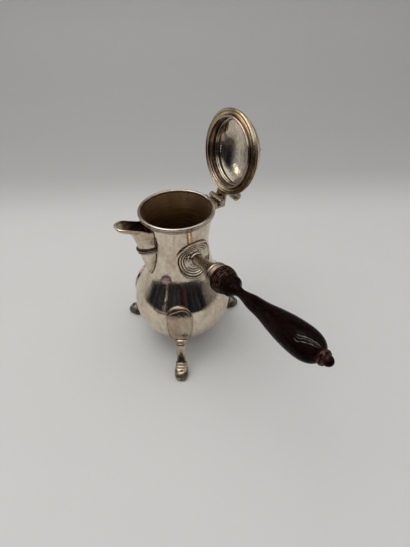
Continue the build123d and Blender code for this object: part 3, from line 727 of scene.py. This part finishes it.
def band(material):
    """Two reeds across the joint of the spout: a dark broad one over a bright fine one."""
    line = curve_through(BAND_LINE, 3)
    rings = [[spout_point(height, 2 * j / ACROSS_STEPS - 1, -proud) for height, proud, _ in line]
             for j in range(ACROSS_STEPS + 1)]
    verts, faces = rings_mesh(rings)
    grime_and_shade = [soot_and_shade for _ in rings for _, _, soot_and_shade in line]
    piece = add_piece("band_reeded", verts, faces, "pot", material, grime_and_shade)
    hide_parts("spout_band")


HANDLE_Z, HANDLE_TILT = 109.5, math.radians(9.5)
FERRULE_FROM, WOOD_FROM, WOOD_TO = 28.05, 41.9, 152.7
ROOT_AROUND, ROOT_LOBES = 120, 9


def socket_root(material):
    """Lobed knop where the handle's tube leaves the rosette."""
    line = curve_through([(3.0, 0.9, 1.0), (6.0, 1.0, 0.9), (6.9, 1.5, 0.2), (7.1, 2.3, 0.0),
                          (6.5, 3.1, 0.2), (5.5, 3.5, 1.0), (5.4, 3.8, 1.0), (5.9, 4.3, 0.1),
                          (6.0, 4.9, 0.0), (5.5, 5.6, 0.3), (4.9, 6.0, 1.0), (4.0, 6.2, 1.0)], 4)
    verts, grime_and_shade = [], []
    for i in range(ROOT_AROUND):
        angle = 2 * math.pi * i / ROOT_AROUND
        wave = math.cos(ROOT_LOBES * angle)
        for radius, height, soot_and_shade in line:
            fat = bell(height, 2.2, 1.0)
            reach = radius + fat * 0.45 * wave
            verts.append((reach * math.cos(angle), reach * math.sin(angle), height))
            # Grime and painted shade in the grooves and between the lobes.
            grime_and_shade.append(clamp(soot_and_shade + fat * bell(wave, -1.0, 0.35)))
    faces = turned_faces(line, ROOT_AROUND)
    add_piece("socket_root", along_handle(verts), faces, "pot", material, grime_and_shade)


def along_handle(verts):
    """Points about +Z from the neck's surface, laid along the handle's axis."""
    axis = Vector((0, -math.cos(HANDLE_TILT), math.sin(HANDLE_TILT)))
    root = Vector((0, -body_radius(HANDLE_Z), HANDLE_Z))
    side = axis.cross(Vector((1, 0, 0)))
    return [root + Vector((1, 0, 0)) * v[0] + side * v[1] + axis * v[2] for v in verts]


def wood_radius():
    """Radius of the CAD's grip by distance along it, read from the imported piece."""
    mesh = NODES["wood_handle"].data
    tree = BVHTree.FromPolygons([v.co for v in mesh.vertices],
                                [p.vertices for p in mesh.polygons])
    rows = []
    for i in range(int((WOOD_TO - WOOD_FROM) * 2) + 1):
        along = WOOD_FROM + i / 2
        start, root = (Vector(p) * MM for p in along_handle([(30, 3, along), (0, 0, along)]))
        hit = tree.ray_cast(start, (root - start).normalized())[0]
        rows.append((along, (hit - root).length / MM if hit else 0.3))
    return rows


def grip(material):
    """Turned wood: the CAD's outline with fine reeds cut round the bulb and the end."""
    line = [(0.0, WOOD_FROM, 0.0), (9.3, WOOD_FROM, 1.0)]
    for along, radius in curve_through(wood_radius(), 3)[3:]:
        bulb = clamp((along - 42.0) / 1.5) * clamp((53.0 - along) / 2.0)
        reed = math.cos(2 * math.pi * (along - 42.6) / 1.75)
        end = bell(along, 147.0, 2.6)
        fine = math.cos(2 * math.pi * along / 1.2)
        radius += 0.17 * bulb * (reed - 1) + 0.12 * end * (fine - 1)
        radius += 0.45 * bell(along, 134.0, 8.0) - 0.6 * bell(along, 89.0, 9.0)
        line.append((max(radius, 0.0), along, 0.5 * bulb * (1 + reed) + end))
    line.append((0.0, line[-1][1] + 0.02, 0.0))
    turned_piece("grip_turned", "wood_handle", line, material, along_handle, "pot")


def ferrule(material):
    """Cup of beads that carries the end of the wood."""
    # Third column: grime and painted shade, dark in the grooves between the beads and at both ends.
    line = [(3.7, FERRULE_FROM, 0.0), (6.5, FERRULE_FROM, 0.9)]
    line += curve_through([(6.9, 28.5, 0.7), (7.9, 30.2, 0.2), (8.7, 31.8, 0.2), (9.05, 33.0, 0.9),
                           (9.5, 33.5, 0.2), (9.9, 34.8, 0.0), (9.55, 36.1, 0.2), (9.05, 36.6, 1.0),
                           (9.6, 37.1, 0.5), (10.15, 38.3, 0.25), (9.8, 39.4, 0.5),
                           (9.35, 39.9, 1.0), (10.15, 40.3, 0.3), (10.6, 40.95, 0.1),
                           (10.2, 41.6, 0.4), (9.4, 41.85, 1.0)], 4)
    line += [(3.7, 41.85, 0.0)]
    turned_piece("ferrule_beaded", "socket_ferrule", line, material, along_handle,
                 "pot")


def socket(material):
    """Tapering tube of the handle's socket."""
    # Third column: grime and painted shade, darkest at both ends.
    line = [(0.0, 1.0, 1.0), (4.6, 1.0, 1.0)]
    line += curve_through([(4.7, 5.0, 1.0), (4.7, 7.5, 0.4), (4.75, 12.0, 0.25),
                           (4.9, 16.0, 0.3), (5.5, 22.0, 0.35), (6.2, 26.0, 0.5),
                           (6.55, 27.95, 0.9)], 5)
    line += [(0.0, 27.95, 0.9)]
    turned_piece("socket_tube", "handle_socket", line, material, along_handle,
                 "pot")


# ---- world and lamps ----
TENT_LOW, TENT_HIGH = rgb(0.50, 0.50, 0.50), rgb(1.05, 1.04, 1.02)
TENT_RIGHT = rgb(0.22, 0.21, 0.20)
ROOM_DARK, ROOM_PALE = rgb(0.002, 0.002, 0.003), rgb(0.040, 0.043, 0.054)
ROOM_WARM, ROOM_LOW = rgb(0.055, 0.022, 0.016), rgb(0.050, 0.046, 0.044)
CHINK_LIGHT = rgb(1.5, 1.47, 1.44)
BACKDROP = rgb(0.53, 0.53, 0.53)


def make_world():
    """Pale tent with a bright top and a dark room in front of the pot."""
    world = bpy.data.worlds.new("studio")
    world.use_nodes = True
    bpy.context.scene.world = world
    g = Graph(world.node_tree)
    world.node_tree.nodes.clear()
    out = g.node("ShaderNodeOutputWorld")
    where = g.node("ShaderNodeTexCoord").outputs["Generated"]
    up = g.split(where)[2]
    ahead = g.vector("DOT_PRODUCT", where, tuple(AHEAD_LEVEL))
    across = g.vector("DOT_PRODUCT", where, tuple(ACROSS))
    side = g.math("ARCTAN2", across, g.times(ahead, -1.0))

    tent = g.mix(g.step(up, 0.25, 0.85), TENT_LOW, TENT_HIGH)
    right = g.within(side, 0.9, 1.3, 1.5, 1.9)
    tent = g.mix(g.times(right, g.step(up, 0.5, 0.2)), tent, TENT_RIGHT)
    in_front = g.within(side, -1.80, -1.40, 0.93, 1.40)
    ragged = g.noise(g.join(g.times(side, 2.0), up, 0.0), 2.2, 3.0, 0.6)
    edge = g.plus(up, g.range(ragged, 0.3, 0.7, -0.07, 0.07))
    edge = g.plus(edge, g.times(g.step(side, 0.2, -0.6), 0.13))
    low = g.step(edge, 0.72, 0.50)
    fine = g.join(g.times(side, 5.0), g.times(up, 0.35), 0.0)
    streak = g.noise(fine, 1.6, 3.0, 0.65)
    room = g.mix(g.step(streak, 0.40, 0.62), ROOM_DARK, ROOM_PALE)
    warm = g.within(side, -0.02, 0.10, 0.12, 0.26)
    room = g.mix(g.times(warm, 0.8), room, ROOM_WARM)
    chink = g.within(side, -0.695, -0.689, -0.679, -0.673)
    room = g.mix(chink, room, CHINK_LIGHT)
    room = g.mix(g.step(up, 0.05, -0.12), room, ROOM_LOW)
    studio = g.mix(g.times(in_front, low), tent, room)

    seen = g.node("ShaderNodeLightPath").outputs["Is Camera Ray"]
    colour = g.mix(seen, studio, BACKDROP)
    back = g.node("ShaderNodeBackground")
    g.put(back.inputs["Color"], colour)
    g.put(out.inputs["Surface"], back.outputs[0])


POT_MIDDLE, LID_MIDDLE = Vector((0, 0, 0.05)), Vector((0.061, 0.004, 0.159))
TOP_SIZE, TOP_WATTS, TOP_COLOUR = (0.75, 0.55), 2.2, (1.0, 0.985, 0.96)
SIDE_SIZE, SIDE_WATTS, SIDE_COLOUR = (0.06, 0.03), 0.012, (1.0, 0.98, 0.86)
SIDE_AWAY = 0.30


def area_lamp(name, place, aim, size, power, colour):
    """Soft rectangular lamp at a place, aimed at a point; metres and watts."""
    data = bpy.data.lights.new(name, "AREA")
    data.shape = "RECTANGLE"
    data.size, data.size_y = size
    data.energy = power
    data.color = colour
    lamp = bpy.data.objects.new(name, data)
    bpy.context.scene.collection.objects.link(lamp)
    lamp.location = place
    lamp.rotation_mode = "QUATERNION"
    lamp.rotation_quaternion = (Vector(aim) - Vector(place)).to_track_quat("-Z", "Y")


def make_lamps():
    """Broad light above, and a small one whose glint is seen in the lid."""
    above = AHEAD_LEVEL * 0.05 - ACROSS * 0.25 + Vector((0, 0, 0.95))
    area_lamp("top_light", above, POT_MIDDLE, TOP_SIZE, TOP_WATTS, TOP_COLOUR)
    aside = AHEAD_LEVEL * 0.178 - ACROSS * 0.984 + Vector((0, 0, 0.19))
    place = LID_MIDDLE + aside * SIDE_AWAY
    area_lamp("side_light", place, LID_MIDDLE, SIDE_SIZE, SIDE_WATTS, SIDE_COLOUR)


# ---- stage ----
PAPER_NEAR = rgb(0.630, 0.630, 0.626), rgb(0.660, 0.660, 0.656)
# The floor behind the pot and the foot of the sweep are painted darker, as painted shade.
PAPER_FAR_SHADED = rgb(0.465, 0.465, 0.460), rgb(0.505, 0.505, 0.500)
PAPER_UPRIGHT = rgb(0.640, 0.640, 0.635)
MIRRORED_DARK = rgb(0.040, 0.036, 0.033)
ARCH_AWAY, ARCH_HALF_LENGTH, ARCH_HALF_WIDTH = 0.75, 0.41, 0.18
ARCH_EDGE, ARCH_INSIDE = rgb(0.06, 0.045, 0.05), rgb(0.36, 0.29, 0.33)


def stage_material():
    """Pale paper, painted darker behind the pot as painted shade; what lies in front of it shows only in
    the silver.
    """
    material, g, shader = new_material("paper")
    where = g.node("ShaderNodeTexCoord").outputs["Object"]
    depth = g.vector("DOT_PRODUCT", where, tuple(AHEAD_LEVEL))
    across = g.vector("DOT_PRODUCT", where, tuple(ACROSS))
    height = g.split(where)[2]
    # Painted shade: the darker floor behind the pot.
    far = g.step(depth, 0.19, 0.36)
    mottle = g.noise(where, 9.0, 2.0)
    near_tone = g.mix(mottle, *PAPER_NEAR)
    far_shaded_tone = g.mix(g.step(depth, 0.42, 0.80), *PAPER_FAR_SHADED)
    far_shaded_tone = g.mix(g.step(height, 0.01, 0.20), far_shaded_tone, PAPER_UPRIGHT)
    plain = g.mix(far, near_tone, far_shaded_tone)
    away = g.vector("LENGTH", where)
    ragged = g.noise(where, 5.0, 3.0, 0.6)
    edge = g.plus(away, g.range(ragged, 0.3, 0.7, -0.07, 0.07))
    side = g.math("ARCTAN2", across, g.times(depth, -1.0))
    in_front = g.within(side, -1.75, -1.45, 0.88, 1.28)
    edge = g.plus(edge, g.times(g.step(side, -0.90, -1.20), 0.16))
    edge = g.plus(edge, g.times(g.step(side, 0.55, 0.80), 0.10))
    dark = g.times(g.step(edge, 0.48, 0.86), in_front)
    tone = g.mix(g.times(dark, 0.94), plain, MIRRORED_DARK)
    out = g.plus(g.times(depth, -0.711), g.times(across, -0.703))
    over = g.plus(g.times(depth, 0.703), g.times(across, -0.711))
    lengthways = g.times(g.minus(out, ARCH_AWAY), 1 / ARCH_HALF_LENGTH)
    arch = g.vector("LENGTH", g.join(lengthways, g.times(over, 1 / ARCH_HALF_WIDTH), 0.0))
    tone = g.mix(g.step(arch, 1.20, 1.10), tone, ARCH_EDGE)
    tone = g.mix(g.step(arch, 1.00, 0.90), tone, ARCH_INSIDE)
    mirrored = g.node("ShaderNodeLightPath").outputs["Is Glossy Ray"]
    g.put(shader.inputs["Base Color"], g.mix(mirrored, plain, tone))
    shader.inputs["Roughness"].default_value = 0.8
    shader.inputs["Specular IOR Level"].default_value = 0.2
    fine = g.noise(where, 900.0, 3.0)
    g.put(shader.inputs["Normal"], g.bump(fine, 0.05, 0.0004))
    return material


def make_stage():
    """Floor that sweeps up into a backdrop."""
    outline = [(-FLOOR_FRONT, 0.0), (0.0, 0.0), (FLOOR_BACK, 0.0)]
    for i in range(1, SWEEP_STEPS + 1):
        angle = i / SWEEP_STEPS * math.pi / 2
        outline.append((FLOOR_BACK + SWEEP_R * math.sin(angle), SWEEP_R * (1 - math.cos(angle))))
    outline.append((FLOOR_BACK + SWEEP_R, WALL_TOP))
    verts, faces = [], []
    for depth, height in outline:
        for side in (-STAGE_HALF, STAGE_HALF):
            verts.append(AHEAD_LEVEL * depth + ACROSS * side + Vector((0, 0, height)))
    for i in range(len(outline) - 1):
        a = 2 * i
        faces.append((a, a + 1, a + 3, a + 2))
    mesh = bpy.data.meshes.new("floor")
    mesh.from_pydata(verts, [], faces)
    mesh.polygons.foreach_set("use_smooth", [True] * len(faces))
    floor = bpy.data.objects.new("floor", mesh)
    bpy.context.scene.collection.objects.link(floor)
    mesh.materials.append(stage_material())


# ---- materials ----
BROWN, PINK = rgb(0.34, 0.25, 0.16), rgb(0.58, 0.44, 0.38)
HOLLOW_REACH = 0.0014


def silver(name, clean_tone, warm, dark, rough, hollow=0.6, wave=1.0, axis=None, inside=None):
    """Worn silver plate: mottled tarnish, darker hollows and grime as tarnish and painted shade, fine
    scratches, soft waviness.

    inside colours the faces that look towards a vertical axis at x = axis with tarnish and painted shade:
    two tones, the coordinate they change along (0 to 2), and where the change starts and ends.
    """
    material, g, shader = new_material(name)
    coords = g.node("ShaderNodeTexCoord")
    where = coords.outputs["Object"]
    x, y, z = g.split(where)
    drawn = g.scaled(where, (1.0, 1.0, 0.35))
    broad = g.noise(where, 24.0, 3.0, 0.5)
    clouds = g.noise(drawn, 95.0, 5.0, 0.65, 0.5)
    patches = g.noise(where, 330.0, 4.0, 0.65, 0.3)
    specks = g.noise(where, 760.0, 2.0, 0.6)
    brown = g.mix(0.75, warm, BROWN)
    pink = g.mix(0.5, warm, PINK)
    blots = g.noise(g.scaled(where, (1.0, 1.0, 0.55)), 85.0, 3.0, 0.5, 0.5)
    colour = g.mix(g.step(broad, 0.36, 0.66), clean_tone, warm)
    for spots, low, high, share, tone in (
            (blots, 0.46, 0.78, 0.85, brown), (blots, 0.46, 0.28, 0.70, clean_tone),
            (clouds, 0.38, 0.62, 0.70, pink), (clouds, 0.50, 0.72, 0.62, brown),
            (patches, 0.44, 0.72, 0.45, brown), (patches, 0.50, 0.34, 0.35, clean_tone),
            (specks, 0.60, 0.72, 0.45, dark)):
        colour = g.mix(g.times(g.step(spots, low, high), share), colour, tone)
    # Hollows found by occlusion, and each point's grime, darken the colour: tarnish and painted shade.
    open_to = g.node("ShaderNodeAmbientOcclusion", samples=6)
    open_to.inputs["Distance"].default_value = HOLLOW_REACH
    shut = g.times(g.step(open_to.outputs["AO"], 0.80, 0.25), hollow)
    soot_and_shade = g.node("ShaderNodeAttribute", attribute_name="grime_and_shade").outputs["Fac"]
    soot_and_shade = g.times(soot_and_shade, g.range(patches, 0.3, 0.7, 0.75, 1.05))
    shut = g.math("MAXIMUM", shut, soot_and_shade, clamp=True)
    colour = g.mix(shut, colour, dark)

    grain = g.noise(g.scaled(where, (1500.0, 1500.0, 300.0)), 1.0, 2.0, 0.7)
    level = g.plus(g.range(clouds, 0.3, 0.8, rough * 0.65, rough * 1.9),
                   g.range(grain, 0.35, 0.75, 0.0, rough * 0.6))
    level = g.plus(level, g.times(shut, 0.15))
    level = g.plus(level, g.times(g.step(blots, 0.52, 0.70), 0.10))
    swell = g.noise(where, 46.0, 2.0, 0.5)
    dents = g.noise(where, 200.0, 3.0, 0.6)
    ripple = g.noise(where, 480.0, 2.0, 0.6)
    pits = g.step(g.noise(where, 620.0, 2.0, 0.6), 0.70, 0.60)
    normal = None
    for height, strength, depth in (
            (swell, 0.25 * wave, 0.0009), (dents, 0.34 * wave, 0.0003),
            (ripple, 0.22 * wave, 0.00015), (pits, 0.12 * wave, 0.0001), (grain, 0.08, 0.00008)):
        normal = g.bump(height, strength, depth, normal)

    if inside is not None:
        shift = g.minus(x, axis)
        out = g.vector("NORMALIZE", g.join(shift, y, 0.0))
        facing = g.vector("DOT_PRODUCT", coords.outputs["Normal"], out)
        hidden = g.step(facing, 0.05, -0.25)
        turning = g.join(g.times(x, 40.0), g.times(y, 40.0), g.times(z, 900.0))
        lines = g.noise(turning, 1.0, 3.0, 0.6)
        deep, edge, along, low, high = inside
        shade = g.mix(g.step((x, y, z)[along], low, high), deep, edge)
        darkening = g.mix(g.step(lines, 0.35, 0.70), shade, g.mix(0.30, shade, warm))
        darkening = g.mix(g.times(g.step(clouds, 0.42, 0.65), 0.5), darkening, deep)
        colour = g.mix(hidden, colour, darkening)
        level = g.plus(level, g.times(hidden, 0.30))
    g.put(shader.inputs["Base Color"], colour)
    g.put(shader.inputs["Roughness"], level)
    g.put(shader.inputs["Normal"], normal)
    shader.inputs["Metallic"].default_value = 1.0
    return material


def steel():
    material, g, shader = new_material("steel_fixings")
    where = g.node("ShaderNodeTexCoord").outputs["Object"]
    wear_and_painted_light = g.noise(where, 700.0, 4.0, 0.6)
    g.put(shader.inputs["Base Color"], g.mix(wear_and_painted_light, rgb(0.52, 0.49, 0.44), rgb(0.30, 0.26, 0.21)))
    shader.inputs["Metallic"].default_value = 1.0
    g.put(shader.inputs["Roughness"], g.range(wear_and_painted_light, 0.2, 0.8, 0.22, 0.45))
    g.put(shader.inputs["Normal"], g.bump(wear_and_painted_light, 0.15, 0.0002))
    return material


WOOD_DARK, WOOD_GRAIN = rgb(0.0035, 0.0014, 0.0012), rgb(0.011, 0.0035, 0.0028)
WOOD_BROAD, WOOD_WORN = rgb(0.018, 0.0050, 0.0036), rgb(0.085, 0.032, 0.016)
# Pale lines painted on the grip as a highlight.
WOOD_PAINTED_HIGHLIGHT = rgb(0.27, 0.24, 0.23)
HIGHLIGHT_AT = 131.0       # millimetres along the handle
TURN_DEGREES = 57.3
HIGHLIGHT_LINES = ((119.0, 1.0, 1.6), (139.0, 1.3, 1.3), (127.0, 1.1, 0.6))     # start, fall, width


def wood_painted_highlight(g, where):
    """Painted highlight: long pale lines on the grip's upper side."""
    axis = (0.0, -math.cos(HANDLE_TILT), math.sin(HANDLE_TILT))
    root = (0.0, -body_radius(HANDLE_Z) * MM, HANDLE_Z * MM)
    offset = g.vector("SUBTRACT", where, root)
    along = g.minus(g.times(g.vector("DOT_PRODUCT", offset, axis), 1000.0), HIGHLIGHT_AT)
    over = g.vector("DOT_PRODUCT", offset, (0.0, math.sin(HANDLE_TILT), math.cos(HANDLE_TILT)))
    turn = g.times(g.math("ARCTAN2", over, g.split(offset)[0]), TURN_DEGREES)
    wobble = g.range(g.noise(where, 260.0, 2.0), 0.2, 0.8, -5.0, 5.0)
    turn = g.plus(turn, wobble)
    bend = g.times(g.times(along, along), 0.13)
    reach = g.within(along, -1.5, 0.5, 11.0, 12.8)
    total = None
    for start, fall, width in HIGHLIGHT_LINES:
        line = g.minus(start, g.plus(g.times(along, fall), bend))
        near = g.math("ABSOLUTE", g.minus(turn, line))
        highlight_stroke = g.step(near, width * 1.8, width * 0.6)
        total = highlight_stroke if total is None else g.math("MAXIMUM", total, highlight_stroke)
    wear_and_painted_light = g.range(g.noise(where, 700.0, 2.0), 0.35, 0.6, 0.3, 1.0)
    return g.times(g.times(total, reach), wear_and_painted_light)


def dark_wood():
    """Nearly black turned wood with a low polish, fine scratches and a painted highlight."""
    material, g, shader = new_material("dark_wood")
    where = g.node("ShaderNodeTexCoord").outputs["Object"]
    grain = g.noise(g.scaled(where, (420.0, 30.0, 420.0)), 1.0, 5.0, 0.65, 0.6)
    colour = g.mix(g.step(grain, 0.38, 0.70), WOOD_DARK, WOOD_GRAIN)
    broad = g.noise(where, 70.0, 2.0)
    colour = g.mix(g.times(g.step(broad, 0.5, 0.75), 0.4), colour, WOOD_BROAD)
    wear_and_painted_light = g.node("ShaderNodeAttribute", attribute_name="grime_and_shade").outputs["Fac"]
    blotch = g.noise(where, 420.0, 3.0, 0.6)
    wear_and_painted_light = g.times(wear_and_painted_light, g.step(blotch, 0.35, 0.65))
    colour = g.mix(g.times(wear_and_painted_light, 0.9), colour, WOOD_WORN)
    # Pale lines over the colour are a painted highlight.
    painted_highlight = wood_painted_highlight(g, where)
    colour = g.mix(g.times(painted_highlight, 0.65), colour, WOOD_PAINTED_HIGHLIGHT)
    g.put(shader.inputs["Base Color"], colour)
    fine = g.noise(g.scaled(where, (2600.0, 260.0, 2600.0)), 1.0, 2.0, 0.7)
    g.put(shader.inputs["Roughness"], g.range(fine, 0.3, 0.75, 0.10, 0.24))
    wavy = g.noise(g.scaled(where, (340.0, 110.0, 340.0)), 1.0, 2.0, 0.5, 1.2)
    line = g.math("ABSOLUTE", g.minus(wavy, 0.5))
    glint = g.plus(g.times(g.step(line, 0.006, 0.0), 0.25), g.times(wear_and_painted_light, 0.3))
    g.put(shader.inputs["Specular IOR Level"], g.math("ADD", glint, 0.022, clamp=True))
    normal = g.bump(grain, 0.10, 0.0002)
    normal = g.bump(fine, 0.06, 0.00008, normal)
    g.put(shader.inputs["Normal"], normal)
    return material


def give(material, *names):
    """Dress CAD pieces in a material."""
    for name in names:
        mesh = NODES[name].data
        mesh.materials.clear()
        mesh.materials.append(material)


CLEAN = rgb(0.805, 0.725, 0.585)
WARM = rgb(0.72, 0.62, 0.48)
DARK = rgb(0.050, 0.034, 0.022)
NECK_INSIDE = (rgb(0.26, 0.148, 0.047), rgb(0.56, 0.42, 0.27), 2, 0.116, 0.1415)
BEAK_INSIDE = (rgb(0.075, 0.032, 0.015), rgb(0.78, 0.74, 0.58), 0, -0.0440, -0.0490)

make_camera()
make_world()
make_lamps()
make_stage()

body_silver = silver("silver_body", CLEAN, WARM, DARK, 0.06, 0.3, axis=0.0, inside=NECK_INSIDE)
spout_silver = silver("silver_spout", rgb(0.78, 0.71, 0.60), rgb(0.66, 0.54, 0.40), DARK, 0.12, 0.5,
                      axis=-0.024, inside=BEAK_INSIDE)
trim_silver = silver("silver_trim", CLEAN, WARM, DARK, 0.11, 0.55)
rim_silver = silver("silver_rim", rgb(0.65, 0.60, 0.53), rgb(0.47, 0.395, 0.315), DARK, 0.12, 1.0)
plate_silver = silver("silver_plates", rgb(0.57, 0.48, 0.37), rgb(0.39, 0.29, 0.21), DARK, 0.12, 1.0, 2.2)
band_dark = rgb(0.060, 0.026, 0.020)
spout_band = silver("silver_band", rgb(0.74, 0.64, 0.55), rgb(0.60, 0.48, 0.40), band_dark, 0.12, 0.9)
socket_silver = silver("silver_socket", rgb(0.90, 0.79, 0.61), rgb(0.70, 0.59, 0.42), DARK, 0.13, 0.7)
hinge_silver = silver("silver_hinge", rgb(0.42, 0.355, 0.26), rgb(0.26, 0.205, 0.14), DARK, 0.14, 1.0)
band_silver = silver("silver_ferrule", rgb(0.385, 0.31, 0.245), rgb(0.265, 0.19, 0.14), DARK, 0.13, 1.0)
foot_silver = silver("silver_feet", rgb(0.74, 0.64, 0.50), rgb(0.50, 0.40, 0.27), DARK, 0.15, 0.85)
# Darker copy of the feet's silver for legs 1 and 2: painted shade.
shaded_feet_silver = silver("silver_feet_shaded", rgb(0.52, 0.45, 0.34), rgb(0.32, 0.25, 0.17), DARK, 0.18, 0.9)
flange_dark = rgb(0.105, 0.060, 0.022)
flange_silver = silver("silver_flange", rgb(0.72, 0.62, 0.44), rgb(0.46, 0.35, 0.18), flange_dark,
                       0.12, 0.9, 1.8)
collar_silver = silver("silver_collar", rgb(0.72, 0.60, 0.52), rgb(0.48, 0.35, 0.28), DARK, 0.12, 0.9)
crown_silver = silver("silver_crown", rgb(0.78, 0.72, 0.60), rgb(0.58, 0.50, 0.38), DARK, 0.06, 0.7, 1.4)
give(body_silver, "body_shell")
give(spout_silver, "spout_beak", "spout_drop")
give(trim_silver, "spout_band", "handle_rosette")
give(rim_silver, "rim_moulding")
give(plate_silver, "foot_plate_1", "foot_plate_2", "foot_plate_3")
give(socket_silver, "handle_socket")
give(band_silver, "socket_ferrule")
give(hinge_silver, "hinge_bracket", "hinge_lid_leaf", "thumbpiece", "finial_plate", "lid_finial")
give(foot_silver, "foot_casting_1", "foot_casting_2", "foot_casting_3")
give(flange_silver, "lid_rim")
give(collar_silver, "lid_bezel")
give(crown_silver, "lid_dome")
give(steel(), "handle_screw", "hinge_pin")
wood = dark_wood()
give(wood, "wood_handle")

rosette(trim_silver)
lid_moulding(flange_silver)
lid_collar(collar_silver)
lid_crown(crown_silver)
for number in (1, 2, 3):
    foot_plate(number, plate_silver)
    leg(number, foot_silver if number == 3 else shaded_feet_silver)
beak(spout_silver)
spout_seams(spout_silver)
band(spout_band)
socket_root(trim_silver)
socket(socket_silver)
ferrule(band_silver)
grip(wood)

bpy.context.scene.view_settings.view_transform = "Standard"
